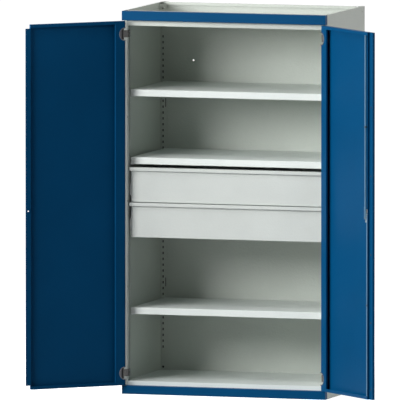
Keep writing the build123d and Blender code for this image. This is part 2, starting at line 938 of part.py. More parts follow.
# Hinge arms: from the jamb's lip round its edge and out to the pin, with a barrel
# that fills the space between the cup's ears
with BuildPart() as left_hinge_arms:
    half = arm_thickness / 2
    leaf_x = -jamb_x + half
    arm_path = [
        (-hinge_x, hinge_y),
        (leaf_x, hinge_y + leaf_x + hinge_x),
        (leaf_x, lip_end_y),
    ]
    barrel = 2 * (cup_radius - sheet - barrel_gap)
    for z in hinge_heights:
        with BuildSketch(Plane.XY.offset(z - arm_height / 2)) as arm_plan:
            Polygon(*shifted(arm_path, -half), *reversed(shifted(arm_path, half)), align=None)
        extrude(amount=arm_height)
        round_bar((-hinge_x, hinge_y, z - barrel / 2), (0, 0, 1), eye_radius, barrel)
        round_bar(
            (-hinge_x, hinge_y, z - barrel / 2),
            (0, 0, 1),
            pin_radius + pin_seat_fit,
            barrel,
            Mode.SUBTRACT,
        )
        for step in (-0.5, 0.5):
            round_bar(
                (leaf_x - arm_thickness, jamb_y + hinge_screw_inset, z + step * hinge_screw_spacing),
                (1, 0, 0),
                hinge_screw_radius + hinge_screw_fit,
                2 * arm_thickness,
                Mode.SUBTRACT,
            )
keep(left_hinge_arms, "left_hinge_arms")

with BuildPart() as right_hinge_arms:
    mirror(left_hinge_arms.part, about=Plane.YZ)
keep(right_hinge_arms, "right_hinge_arms")

for name, side in (("left_hinge_pins", -1), ("right_hinge_pins", 1)):
    with BuildPart() as hinge_pins:
        for z in hinge_heights:
            reach = cup_radius - fit_gap
            round_bar((side * hinge_x, hinge_y, z - reach), (0, 0, 1), pin_radius, 2 * reach)
    keep(hinge_pins, name)

# Screws that hold the hinge arms on the jamb lips
with BuildPart() as hinge_screws:
    for side in (-1, 1):
        for z in hinge_heights:
            for step in (-0.5, 0.5):
                y, at_z = jamb_y + hinge_screw_inset, z + step * hinge_screw_spacing
                head_x = jamb_x - arm_thickness
                round_bar((side * head_x, y, at_z), (-side, 0, 0), hinge_screw_head_radius, hinge_screw_head)
                shank = arm_thickness + 2 * sheet
                round_bar((side * head_x, y, at_z), (side, 0, 0), hinge_screw_radius, shank)
keep(hinge_screws, "hinge_screws")

# Recessed dish in the right door's outer face
with BuildPart() as dish_closed:
    round_bar(
        (lock_x, front_y - dish_flange, lock_height), (0, 1, 0), dish_flange_radius, dish_flange
    )
    round_bar((lock_x, front_y, lock_height), (0, 1, 0), dish_radius, dish_depth)
    round_bar(
        (lock_x, front_y - 2 * dish_flange, lock_height),
        (0, 1, 0),
        dish_radius - dish_wall,
        2 * dish_flange + dish_depth - dish_wall,
        Mode.SUBTRACT,
    )
    round_bar(
        (lock_x, front_y, lock_height),
        (0, 1, 0),
        spindle_radius + spindle_fit,
        2 * dish_depth,
        Mode.SUBTRACT,
    )

with BuildPart() as handle_dish:
    add(swing(dish_closed.part, 1))
keep(handle_dish, "handle_dish")

# Turn grip with its spindle, which reaches through the door to the cam
with BuildPart() as grip_closed:
    dish_floor_y = front_y + dish_depth - dish_wall
    outer_y = front_y - grip_proud
    grip_plane = Plane((lock_x, outer_y, lock_height), x_dir=(1, 0, 0), z_dir=(0, 1, 0))
    with BuildSketch(grip_plane):
        SlotOverall(grip_bar_length, grip_bar_width)
    extrude(amount=grip_bar_height)
    fillet(grip_closed.faces().sort_by(Axis.Y)[0].edges(), grip_edge_radius)
    hub_length = dish_floor_y - fit_gap - outer_y
    round_bar((lock_x, outer_y, lock_height), (0, 1, 0), grip_hub_radius, hub_length)
    round_bar(
        (lock_x, front_y, lock_height),
        (0, 1, 0),
        spindle_radius,
        cam_y + cam_thickness - front_y,
    )
    round_bar(
        (lock_x, outer_y - sheet, lock_height),
        (0, 1, 0),
        key_radius + pin_fit,
        key_length + sheet,
        Mode.SUBTRACT,
    )

with BuildPart() as turn_grip:
    add(swing(grip_closed.part, 1))
keep(turn_grip, "turn_grip")

with BuildPart() as key_closed:
    key_front_y = outer_y - key_proud
    round_bar((lock_x, key_front_y, lock_height), (0, 1, 0), key_radius, key_length + key_proud - fit_gap)
    slab(
        (lock_x - key_slot_width / 2, lock_x + key_slot_width / 2),
        (key_front_y - sheet, key_front_y + key_slot_depth),
        (lock_height - key_slot_length / 2, lock_height + key_slot_length / 2),
        Mode.SUBTRACT,
    )

with BuildPart() as key_cylinder:
    add(swing(key_closed.part, 1))
keep(key_cylinder, "key_cylinder")

# Lock case: a plate on two legs, over the dish on the door's inner side
with BuildPart() as case_closed:
    x_range = (lock_x - case_width / 2, lock_x + case_width / 2)
    z_low, z_high = lock_height - case_height / 2, lock_height + case_height / 2
    slab(x_range, (case_y, case_y + case_plate), (z_low, z_high))
    for z_range in ((z_low, z_low + case_leg), (z_high - case_leg, z_high)):
        slab(x_range, (front_y + sheet, case_y + case_plate), z_range)
    fillet(case_closed.edges().filter_by(Axis.Y).group_by(Axis.X)[0], case_corner_radius)
    fillet(case_closed.edges().filter_by(Axis.Y).group_by(Axis.X)[-1], case_corner_radius)
    round_bar(
        (lock_x, case_y - sheet, lock_height),
        (0, 1, 0),
        spindle_radius + spindle_fit,
        2 * case_plate + sheet,
        Mode.SUBTRACT,
    )
    screw_x = case_width / 2 - case_screw_inset_x
    screw_z = case_height / 2 - case_screw_inset_z
    screw_places = [
        (lock_x + x_side * screw_x, lock_height + z_side * screw_z)
        for x_side in (-1, 1)
        for z_side in (-1, 1)
    ]
    for x, z in screw_places:
        round_bar(
            (x, case_y + case_plate, z),
            (0, -1, 0),
            case_screw_radius + pin_fit,
            case_screw_length,
            Mode.SUBTRACT,
        )

with BuildPart() as lock_case:
    add(swing(case_closed.part, 1))
keep(lock_case, "lock_case")

with BuildPart() as case_screws_closed:
    for x, z in screw_places:
        head_y = case_y + case_plate
        round_bar((x, head_y, z), (0, 1, 0), case_screw_head_radius, case_screw_head)
        round_bar((x, head_y, z), (0, -1, 0), case_screw_radius, case_screw_length - fit_gap)

with BuildPart() as lock_case_screws:
    add(swing(case_screws_closed.part, 1))
keep(lock_case_screws, "lock_case_screws")

# Cam with two pins, one for each rod; unlocked, it lies aslant
with BuildPart() as cam_closed:
    cam_plane = Plane((lock_x, cam_y, lock_height), x_dir=(1, 0, 0), z_dir=(0, 1, 0))
    with BuildSketch(cam_plane):
        SlotCenterToCenter(2 * cam_radius, cam_width, rotation=cam_turn / 2)
        Circle(cam_hub_radius)
        Circle(spindle_radius + pin_seat_fit, mode=Mode.SUBTRACT)
    extrude(amount=cam_thickness)
    for sign in (-1, 1):
        round_bar(
            (lock_x + sign * rod_offset, cam_y + cam_thickness, lock_height - sign * rod_offset),
            (0, 1, 0),
            cam_pin_radius,
            cam_pin_height,
        )

with BuildPart() as lock_cam:
    add(swing(cam_closed.part, 1))
keep(lock_cam, "lock_cam")


def locking_rod(way, tip_z):
    """A rod from the cam's pin to the door's edge; way is 1 for up and -1 for down."""
    rod_x = lock_x + way * rod_offset
    pin_z = lock_height - way * rod_offset
    swell = cam_radius - rod_offset
    slot_half_height = cam_pin_radius + rod_slot_play
    reach = swell + cam_pin_radius + rod_slot_margin + rod_slot_wall
    end_y_range = (rod_end_y, rod_end_y + rod_end_thickness)
    slab(
        (rod_x - way * rod_end_half_width, rod_x + way * reach),
        end_y_range,
        (pin_z - way * (slot_half_height + rod_slot_wall), lock_height + way * rod_end_length),
    )
    round_z = lock_height + way * rod_round_start
    round_bar((rod_x, rod_y, round_z), (0, 0, way), rod_radius, abs(tip_z - round_z))
    slab(
        (
            rod_x - way * (cam_pin_radius + rod_slot_margin),
            rod_x + way * (swell + cam_pin_radius + rod_slot_margin),
        ),
        (rod_end_y - sheet, rod_end_y + rod_end_thickness + sheet),
        (pin_z - slot_half_height, pin_z + slot_half_height),
        Mode.SUBTRACT,
    )


for name, way, tip_z in (
    ("upper_rod", 1, door_top + rod_tip_proud),
    ("lower_rod", -1, door_bottom - rod_tip_proud),
):
    with BuildPart() as rod_closed:
        locking_rod(way, tip_z)
    with BuildPart() as rod:
        add(swing(rod_closed.part, 1))
    keep(rod, name)

# Guides that hold the rods against the door skin
with BuildPart() as guides_closed:
    for way in (-1, 1):
        x, z = lock_x + way * rod_offset, lock_height + way * rod_guide_offset
        slab(
            (x - rod_guide_width / 2, x + rod_guide_width / 2),
            (front_y + sheet, rod_y + rod_radius + sheet),
            (z - rod_guide_height / 2, z + rod_guide_height / 2),
        )
        round_bar(
            (x, rod_y, z - rod_guide_height),
            (0, 0, 1),
            rod_radius + rod_guide_fit,
            2 * rod_guide_height,
            Mode.SUBTRACT,
        )

with BuildPart() as rod_guides:
    add(swing(guides_closed.part, 1))
keep(rod_guides, "rod_guides")

# Rubber buffers on the right door's rebate, against the left door's lip
with BuildPart() as buffers_closed:
    for z in buffer_heights:
        round_bar(
            (meeting_x + buffer_inset, front_y + rebate_depth, z),
            (0, 1, 0),
            buffer_radius,
            overlap_depth - rebate_depth - buffer_gap,
        )

with BuildPart() as edge_buffers:
    add(swing(buffers_closed.part, 1))
keep(edge_buffers, "edge_buffers")
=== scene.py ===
"""Looks of a heavy-duty storage cabinet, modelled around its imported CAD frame."""
import json
import logging
import math
from abc import ABC, abstractmethod
from contextlib import contextmanager
from dataclasses import dataclass
from enum import Enum
from typing import Callable, Iterator, Sequence

import bmesh
import bpy
from mathutils import Matrix, Vector


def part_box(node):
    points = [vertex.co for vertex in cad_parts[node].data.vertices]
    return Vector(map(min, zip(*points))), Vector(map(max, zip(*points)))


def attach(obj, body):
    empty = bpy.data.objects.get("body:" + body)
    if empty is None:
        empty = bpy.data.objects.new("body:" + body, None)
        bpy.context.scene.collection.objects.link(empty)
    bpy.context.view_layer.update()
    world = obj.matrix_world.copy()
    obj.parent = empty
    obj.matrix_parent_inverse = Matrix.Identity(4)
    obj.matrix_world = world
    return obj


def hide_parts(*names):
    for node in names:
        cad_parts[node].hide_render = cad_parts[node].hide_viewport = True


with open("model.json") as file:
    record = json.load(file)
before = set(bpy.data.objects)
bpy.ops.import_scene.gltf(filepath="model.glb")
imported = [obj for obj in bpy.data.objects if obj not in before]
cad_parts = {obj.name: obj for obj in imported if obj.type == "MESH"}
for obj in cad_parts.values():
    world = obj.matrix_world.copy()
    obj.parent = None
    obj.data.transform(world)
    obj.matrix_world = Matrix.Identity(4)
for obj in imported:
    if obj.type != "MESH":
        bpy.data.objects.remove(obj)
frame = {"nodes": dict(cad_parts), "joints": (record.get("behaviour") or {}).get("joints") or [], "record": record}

log = logging.getLogger("cabinet")
Colour = tuple[float, float, float]
Point = Sequence[float]
Span = tuple[float, float]
Profile = Sequence[Span]
Piece = bpy.types.Object
Node = bpy.types.Node
Socket = bpy.types.NodeSocket
Tree = bpy.types.NodeTree
Test = Callable[[Vector, Vector], bool]

SMOOTH_ANGLE = math.radians(35)
EDGE_ANGLE = math.radians(28)
TOUCH = 1e-5  # how near a place counts as met, in metres
ALONG = 0.9  # cosine past which an edge or a normal counts as along an axis
ACROSS = (1.0, 0.0, 0.0)
OUTWARD = (0.0, -1.0, 0.0)
INWARD = (0.0, 1.0, 0.0)
UP = (0.0, 0.0, 1.0)
WHITE = (1.0, 1.0, 1.0, 1.0)
MIDDLE_VALUES: Span = (0.3, 0.7)  # where most of a noise's values lie
RUB_LEVEL = 0.74  # noise above this is a rubbing mark
DUST_FALLOFF = 4.0  # how fast dust thins out on faces that lean
EDGE_GAIN = 6.0  # how fast an edge's mask rises where the normal turns
MARGIN = 0.001  # how far a drill reaches past both sides of a plate


class Slot(Enum):
    """The record's material slots."""

    BLUE = "blue_paint"
    GREY = "grey_paint"
    LIGHT_GREY = "light_grey_paint"
    ZINC = "zinc_steel"
    LOCK_ZINC = "lock_zinc"
    CYLINDER = "cylinder_metal"
    HANDLE = "handle_plastic"
    GUIDE = "guide_plastic"
    RUBBER = "buffer_rubber"


class Side(Enum):
    """The two sides of the cabinet, by the sign of X."""

    LEFT = -1
    RIGHT = 1

    @property
    def label(self) -> str:
        """The side's name as the nodes and joints write it."""
        return self.name.lower()


class Pick(Enum):
    """What is selected in edit mode."""

    VERTS = "VERT"
    EDGES = "EDGE"
    FACES = "FACE"


# Shared shader effects

def feed(tree: Tree, socket: Socket, value: object) -> None:
    """Links a socket to the one that feeds it, or gives it a plain value.

    Args:
        tree: The socket's tree.
        socket: The socket.
        value: Another node's output, or a value.
    """
    if isinstance(value, Socket):
        tree.links.new(value, socket)
    else:
        socket.default_value = value


def add_node(tree: Tree, kind: str, *values: object, **settings: object) -> Node:
    """Adds a node to a tree.

    Args:
        tree: The tree.
        kind: The node's type name.
        values: Sockets or values for its first inputs, in order.
        settings: Its properties, and its inputs under names with a capital letter.

    Returns:
        The new node.
    """
    node = tree.nodes.new(kind)
    for name, value in settings.items():
        if name[0].isupper():
            feed(tree, node.inputs[name.replace("_", " ")], value)
        else:
            setattr(node, name, value)
    for socket, value in zip(node.inputs, values):
        feed(tree, socket, value)
    return node


def add_math(tree: Tree, operation: str, first: object, second: object) -> Socket:
    """Adds a math node on two sockets or numbers and returns its output."""
    return add_node(tree, "ShaderNodeMath", first, second, operation=operation).outputs[0]


class Effect:
    """A shader node group with named inputs and outputs, built once and placed in many materials."""

    def __init__(self, name: str, outputs: Sequence[str], **inputs: float) -> None:
        """Starts a group that holds the object coordinates, which every pattern reads.

        Args:
            name: The group's name.
            outputs: Name of each output, which carries a mask or a value.
            inputs: Default value of each input, with underscores for spaces.
        """
        self.tree = bpy.data.node_groups.new(name, "ShaderNodeTree")
        for label, value in inputs.items():
            self.add_socket(label.replace("_", " "), "INPUT").default_value = value
        for label in outputs:
            self.add_socket(label, "OUTPUT")
        self.given = self.node("NodeGroupInput").outputs
        self.result = self.node("NodeGroupOutput").inputs
        self.place = self.node("ShaderNodeTexCoord").outputs["Object"]

    def add_socket(self, label: str, way: str) -> bpy.types.NodeTreeInterfaceSocket:
        """Adds an input or an output to the group."""
        return self.tree.interface.new_socket(label, in_out=way, socket_type="NodeSocketFloat")

    def node(self, kind: str, *values: object, **settings: object) -> Node:
        """Adds a node to the group, as add_node does."""
        return add_node(self.tree, kind, *values, **settings)

    def math(self, operation: str, first: object, second: object) -> Socket:
        """Adds a math node to the group and returns its output."""
        return add_math(self.tree, operation, first, second)

    def noise(
        self, scale: object, detail: float, roughness: float = 0.5, vector: Socket | None = None
    ) -> Socket:
        """Adds noise, which reads the object coordinates unless told otherwise, and returns its value."""
        values = {"Scale": scale, "Detail": detail, "Roughness": roughness}
        return self.node("ShaderNodeTexNoise", Vector=vector or self.place, **values).outputs[0]

    def give(self, **outputs: Socket) -> "Effect":
        """Feeds the group's outputs.

        Args:
            outputs: The socket that feeds each output.

        Returns:
            The finished effect.
        """
        for label, socket in outputs.items():
            feed(self.tree, self.result[label], socket)
        return self


def build_grain() -> Effect:
    """The skin of a sprayed or moulded surface: long waves, short bumps and a cloudy mask.

    Returns:
        The effect, with the outputs Height, Speckle and Cloud.
    """
    effect = Effect(
        "surface_grain",
        ("Height", "Speckle", "Cloud"),
        Wave_size=0.012, Grain_size=0.002, Cloud_size=0.35, Grain_share=0.4,
    )
    waves, grain, clouds = (
        effect.noise(effect.math("DIVIDE", 1.0, effect.given[label]), detail, 0.55)
        for label, detail in (("Wave size", 1.0), ("Grain size", 2.0), ("Cloud size", 3.0))
    )
    fine = effect.math("MULTIPLY", grain, effect.given["Grain share"])
    return effect.give(Height=effect.math("ADD", waves, fine), Speckle=grain, Cloud=clouds)


def build_dust() -> Effect:
    """Fine dust that settles on faces that look up.

    Returns:
        The effect, with the output Mask.
    """
    effect = Effect("settled_dust", ("Mask",), Amount=0.1)
    normal = effect.node("ShaderNodeNewGeometry").outputs["Normal"]
    upward = effect.math("MAXIMUM", effect.node("ShaderNodeSeparateXYZ", normal).outputs["Z"], 0.0)
    level = effect.math("POWER", upward, DUST_FALLOFF)
    patches = effect.math("MULTIPLY", level, effect.noise(9.0, 5.0, 0.65))
    return effect.give(Mask=effect.math("MULTIPLY", patches, effect.given["Amount"]))


def build_scratches() -> Effect:
    """Thin, sparse rubbing marks, drawn out along one of two slants.

    Returns:
        The effect, with the output Mask.
    """
    effect = Effect("rub_marks", ("Mask",), Amount=0.3)
    marks = []
    for turn, stretch in ((0.35, (2.0, 2.0, 95.0)), (-0.6, (90.0, 90.0, 2.5))):
        slant = effect.node("ShaderNodeMapping", effect.place, Rotation=(turn, turn / 2, 0.0), Scale=stretch)
        noise = effect.noise(1.0, 2.0, vector=slant.outputs[0])
        marks.append(effect.math("GREATER_THAN", noise, RUB_LEVEL))
    both = effect.math("MAXIMUM", *marks)
    return effect.give(Mask=effect.math("MULTIPLY", both, effect.given["Amount"]))


def build_edges() -> Effect:
    """Folded and cut edges, where paint is thinner and hands rub it.

    Returns:
        The effect, with the output Mask.
    """
    effect = Effect("worn_edges", ("Mask",), Amount=0.4, Width=0.0015)
    rounded = effect.node("ShaderNodeBevel", effect.given["Width"], samples=4).outputs[0]
    normal = effect.node("ShaderNodeNewGeometry").outputs["Normal"]
    compare = effect.node("ShaderNodeVectorMath", rounded, normal, operation="DOT_PRODUCT")
    turned = effect.math("MULTIPLY", effect.math("SUBTRACT", 1.0, compare.outputs["Value"]), EDGE_GAIN)
    broken = effect.math("MULTIPLY", effect.math("MINIMUM", turned, 1.0), effect.noise(38.0, 4.0, 0.7))
    return effect.give(Mask=effect.math("MULTIPLY", broken, effect.given["Amount"]))


def build_plating() -> Effect:
    """Drawn and plated steel: faint lines along the metal and a cloudy bloom.

    Returns:
        The effect, with the outputs Lines and Bloom.
    """
    effect = Effect("plated_steel", ("Lines", "Bloom"), Across=900.0, Along=12.0)
    across, along = effect.given["Across"], effect.given["Along"]
    stretch = effect.node("ShaderNodeCombineXYZ", across, along, across).outputs[0]
    drawn = effect.node("ShaderNodeVectorMath", effect.place, stretch, operation="MULTIPLY").outputs[0]
    bloom = effect.node("ShaderNodeTexVoronoi", Vector=effect.place, Scale=140.0, Randomness=1.0)
    tone = effect.node("ShaderNodeSeparateColor", bloom.outputs["Color"]).outputs[0]
    return effect.give(Lines=effect.noise(1.0, 2.0, vector=drawn), Bloom=tone)


GRAIN = build_grain()
DUST = build_dust()
SCRATCHES = build_scratches()
EDGES = build_edges()
PLATING = build_plating()


# Finishes

class Wiring:
    """The node tree of one material while a finish joins it up."""

    def __init__(self, name: str) -> None:
        """Starts a material with its shader.

        Args:
            name: The material's name.
        """
        self.material = bpy.data.materials.new(name)
        self.material.use_nodes = True
        self.tree = self.material.node_tree
        self.shader = self.tree.nodes["Principled BSDF"]

    def set(self, socket: str, value: object) -> None:
        """Feeds one of the shader's sockets from another socket, or makes it constant."""
        feed(self.tree, self.shader.inputs[socket], value)

    def place(self, effect: Effect, **values: float) -> bpy.types.bpy_prop_collection:
        """Adds a shared effect with its own input values and returns its outputs."""
        return add_node(self.tree, "ShaderNodeGroup", node_tree=effect.tree, **values).outputs

    def blend_value(self, mask: Socket, low: float, high: float, reach: Span = (0.0, 1.0)) -> Socket:
        """Turns a mask, over its reach, into a value between two limits."""
        return add_node(self.tree, "ShaderNodeMapRange", mask, *reach, low, high).outputs[0]

    def blend_colour(self, mask: Socket, low: object, high: Point, reach: Span = (0.0, 1.0)) -> Socket:
        """Mixes two colours by a mask.

        Args:
            mask: The mask's socket.
            low: Colour, or a colour's socket, where the mask is low.
            high: Colour where the mask is high.
            reach: The mask's values that count as low and high.

        Returns:
            The mixed colour's socket.
        """
        mix = add_node(self.tree, "ShaderNodeMix", data_type="RGBA")
        share = self.blend_value(mask, 0.0, 1.0, reach)
        for index, value in ((0, share), (6, low), (7, high)):
            feed(self.tree, mix.inputs[index], value)
        return mix.outputs[2]

    def bump(self, height: Socket, distance: float) -> None:
        """Feeds the shader's normal from a height of so many metres."""
        node = add_node(self.tree, "ShaderNodeBump", Height=height, Distance=distance, Strength=1.0)
        self.set("Normal", node.outputs[0])


@dataclass(frozen=True)
class Finish(ABC):
    """A surface finish that can build its material."""

    name: str
    colour: Colour

    def build(self) -> bpy.types.Material:
        """Makes the material, with its shader fed by shared effects.

        Returns:
            The material.
        """
        wiring = Wiring(self.name)
        self.wire(wiring)
        return wiring.material

    def tone(self, factor: float) -> tuple[float, float, float, float]:
        """The finish's colour made darker or lighter, with full alpha."""
        return (*(min(1.0, channel * factor) for channel in self.colour), 1.0)

    @abstractmethod
    def wire(self, wiring: Wiring) -> None:
        """Sets and joins the shader's sockets in a material's wiring."""


@dataclass(frozen=True)
class PowderCoat(Finish):
    """Sprayed and baked paint on sheet steel."""

    roughness: float = 0.45
    specular: float = 0.3
    relief: float = 0.0012
    mottle: float = 0.05
    speckle: float = 0.86
    rubbing: float = 0.2
    dust: float = 0.08
    dust_colour: Colour = (0.62, 0.60, 0.56)
    wear: float = 0.35
    worn_colour: Colour = (0.55, 0.56, 0.55)

    def wire(self, wiring: Wiring) -> None:
        """Sets and joins the shader's sockets.

        Args:
            wiring: The material's wiring.
        """
        grain = wiring.place(GRAIN)
        settled = wiring.place(DUST, Amount=self.dust)["Mask"]
        rubbed = wiring.place(SCRATCHES, Amount=self.rubbing)["Mask"]
        worn = wiring.place(EDGES, Amount=self.wear)["Mask"]
        low, high = self.tone(1 - self.mottle), self.tone(1 + self.mottle)
        colour = wiring.blend_colour(grain["Cloud"], low, high, MIDDLE_VALUES)
        colour = wiring.blend_colour(grain["Speckle"], colour, self.tone(self.speckle), (0.45, 0.95))
        colour = wiring.blend_colour(worn, colour, (*self.worn_colour, 1.0))
        colour = wiring.blend_colour(settled, colour, (*self.dust_colour, 1.0))
        # painted shade: subclasses darken hidden strips to near black here
        wiring.set("Base Color", self.overspray(wiring, colour))
        uneven = add_math(wiring.tree, "ADD", grain["Speckle"], rubbed)
        limits = (self.roughness - 0.08, self.roughness + 0.10)
        wiring.set("Roughness", wiring.blend_value(uneven, *limits, (0.3, 0.9)))
        wiring.set("Specular IOR Level", self.specular)
        wiring.bump(grain["Height"], self.relief)

    def overspray(self, wiring: Wiring, colour: Socket) -> Socket:
        """The paint's colour with no painted shade, as on a plain piece."""
        return colour


@dataclass(frozen=True)
class ScreenedCoat(PowderCoat):
    """Paint with near-black strips of painted shade where other sheets hide the piece, so holes and slots there
    read dark.
    """

    beside: Span = (0.509, 1.0)
    between: Span = (0.0, 0.3142)
    # near-black painted shade for the hidden strips
    bare_colour: Colour = (0.006, 0.007, 0.007)

    def overspray(self, wiring: Wiring, colour: Socket) -> Socket:
        """Paints near-black shade on the strips, which lie at both sides within the limits of X and Y.

        Args:
            wiring: The material's wiring.
            colour: The paint's colour.

        Returns:
            The colour with painted shade on the strips.
        """
        tree = wiring.tree
        place = add_node(tree, "ShaderNodeTexCoord").outputs["Object"]
        split = add_node(tree, "ShaderNodeSeparateXYZ", place).outputs
        mask: object = 1.0
        for value, (low, high) in (
            (add_math(tree, "ABSOLUTE", split["X"], 0.0), self.beside),
            (split["Y"], self.between),
        ):
            for operation, limit in (("GREATER_THAN", low), ("LESS_THAN", high)):
                mask = add_math(tree, "MULTIPLY", mask, add_math(tree, operation, value, limit))
        # painted shade: the strips' colour goes near black
        return wiring.blend_colour(mask, colour, (*self.bare_colour, 1.0))


@dataclass(frozen=True)
class Plating(Finish):
    """Zinc or nickel on drawn or rolled steel."""

    roughness: float = 0.34
    metallic: float = 0.92
    across: float = 900.0
    along: float = 12.0
    relief: float = 0.00004

    def wire(self, wiring: Wiring) -> None:
        """Sets and joins the shader's sockets.

        Args:
            wiring: The material's wiring.
        """
        plated = wiring.place(PLATING, Across=self.across, Along=self.along)
        clouds = wiring.place(GRAIN, Wave_size=0.006, Grain_size=0.0008, Cloud_size=0.05)["Cloud"]
        worn = wiring.place(EDGES, Amount=0.3, Width=0.0008)["Mask"]
        colour = wiring.blend_colour(plated["Bloom"], self.tone(0.95), self.tone(1.05))
        colour = wiring.blend_colour(clouds, colour, self.tone(0.78), (0.45, 1.3))
        wiring.set("Base Color", wiring.blend_colour(worn, colour, self.tone(1.5)))
        limits = (self.roughness - 0.07, self.roughness + 0.12)
        wiring.set("Roughness", wiring.blend_value(plated["Lines"], *limits, MIDDLE_VALUES))
        wiring.set("Metallic", self.metallic)
        wiring.bump(plated["Lines"], self.relief)


@dataclass(frozen=True)
class Moulded(Finish):
    """Moulded plastic or rubber with a fine spark-eroded grain."""

    roughness: float = 0.5
    relief: float = 0.00012
    wear: float = 0.35

    def wire(self, wiring: Wiring) -> None:
        """Sets and joins the shader's sockets.

        Args:
            wiring: The material's wiring.
        """
        grain = wiring.place(GRAIN, Wave_size=0.004, Grain_size=0.0006, Cloud_size=0.03, Grain_share=0.8)
        rubbed = wiring.place(SCRATCHES, Amount=self.wear)["Mask"]
        colour = wiring.blend_colour(grain["Cloud"], self.tone(0.85), self.tone(1.2), MIDDLE_VALUES)
        wiring.set("Base Color", wiring.blend_colour(rubbed, colour, self.tone(2.2)))
        limits = (self.roughness - 0.08, self.roughness + 0.1)
        wiring.set("Roughness", wiring.blend_value(grain["Speckle"], *limits, MIDDLE_VALUES))
        wiring.bump(grain["Height"], self.relief)


GREY_PAINT: Colour = (0.600, 0.640, 0.590)
BLUE_COAT = PowderCoat(
    "blue_powder_coat", (0.0005, 0.063, 0.170), specular=0.05, relief=0.00035, dust=0.02, wear=0.18,
    worn_colour=(0.04, 0.20, 0.38),
)
GREY_COAT = PowderCoat("grey_powder_coat", GREY_PAINT)
# The back panel, jamb and post coats carry painted shade: near-black strips behind the posts' flanges and in the
# jamb, so holes and slots there read dark.
WALL_COAT = ScreenedCoat("wall_grey_coat", GREY_PAINT)
JAMB_COAT = ScreenedCoat("jamb_grey_coat", GREY_PAINT, beside=(0.5196, 0.5388), between=(-0.3072, -0.2765))
POST_COAT = ScreenedCoat("post_grey_coat", GREY_PAINT, beside=(0.5182, 0.5388), between=(-0.3072, -0.2758))
SHELF_COAT = PowderCoat("shelf_powder_coat", (0.800, 0.850, 0.820), relief=0.0007, dust=0.05)
DRAWER_COAT = PowderCoat("drawer_powder_coat", (0.620, 0.655, 0.628), relief=0.0004)
BRIGHT_ZINC = Plating("bright_zinc", (0.46, 0.47, 0.48))
DARK_ZINC = Plating("dark_hinge_steel", (0.13, 0.125, 0.12), 0.48, 0.5, across=300.0, along=300.0)
CUP_ZINC = Plating("grey_cup_zinc", (0.17, 0.175, 0.19), 0.46, 0.5, across=300.0, along=300.0)
LOCK_ZINC = Plating("dull_lock_zinc", (0.40, 0.42, 0.40), 0.5, 0.15, across=400.0, along=400.0)
ROD_ZINC = Plating("blue_passivated_rod", (0.075, 0.170, 0.270), 0.46, 0.35, across=700.0)
NICKEL = Plating("polished_nickel", (0.66, 0.65, 0.62), 0.22, 1.0)
BLACK_PLASTIC = Moulded("black_handle_plastic", (0.022, 0.022, 0.024))
GUIDE_PLASTIC = Moulded("dark_guide_plastic", (0.020, 0.045, 0.075), 0.4)
RUBBER = Moulded("buffer_rubber", (0.028, 0.027, 0.026), 0.75, wear=0.1)

SLOT_FINISHES: dict[Slot, Finish] = {
    Slot.BLUE: BLUE_COAT,
    Slot.GREY: GREY_COAT,
    Slot.LIGHT_GREY: SHELF_COAT,
    Slot.ZINC: BRIGHT_ZINC,
    Slot.LOCK_ZINC: LOCK_ZINC,
    Slot.CYLINDER: NICKEL,
    Slot.HANDLE: BLACK_PLASTIC,
    Slot.GUIDE: GUIDE_PLASTIC,
    Slot.RUBBER: RUBBER,
}
PAIRED_FINISHES = {"side_panel": JAMB_COAT, "front_post": POST_COAT, "hinge_arms": DARK_ZINC}
NODE_FINISHES: dict[str, Finish] = {
    "back_panel": WALL_COAT,
    "floor_pan": SHELF_COAT,
    "upper_rod": ROD_ZINC,
    "lower_rod": ROD_ZINC,
    **{f"{side.label}_{piece}": finish for side in Side for piece, finish in PAIRED_FINISHES.items()},
    **{f"drawer_{n}_{piece}": DRAWER_COAT for n in (1, 2) for piece in ("front", "grip_strip", "box")},
}


class Paintbox:
    """Builds each finish once and dresses objects with it."""

    def __init__(self) -> None:
        """Starts with no material built."""
        self.materials: dict[str, bpy.types.Material] = {}

    def dress(self, piece: Piece, finish: Finish) -> None:
        """Gives an object one finish all over.

        Args:
            piece: The object.
            finish: The finish.
        """
        if finish.name not in self.materials:
            self.materials[finish.name] = finish.build()
        piece.data.materials.clear()
        piece.data.materials.append(self.materials[finish.name])

    def dress_nodes(self) -> None:
        """Dresses every CAD node by its name or its slot in the record."""
        for entry in frame["record"]["subparts"]:
            node = entry["node"]
            finish = NODE_FINISHES.get(node, SLOT_FINISHES[Slot(entry["material_slot"])])
            self.dress(frame["nodes"][node], finish)
            log.info("dressed %s with %s", node, finish.name)


# The workbench

def aimed(way: Point) -> Matrix:
    """The turn that points the Z axis along a direction."""
    return Vector(way).to_track_quat("Z", "Y").to_matrix().to_4x4()


def disc(radius: float, height: float, chamfer: float) -> list[Span]:
    """The profile of a disc with both rims chamfered."""
    rim = radius - chamfer
    return [(rim, 0.0), (radius, chamfer), (radius, height - chamfer), (rim, height)]


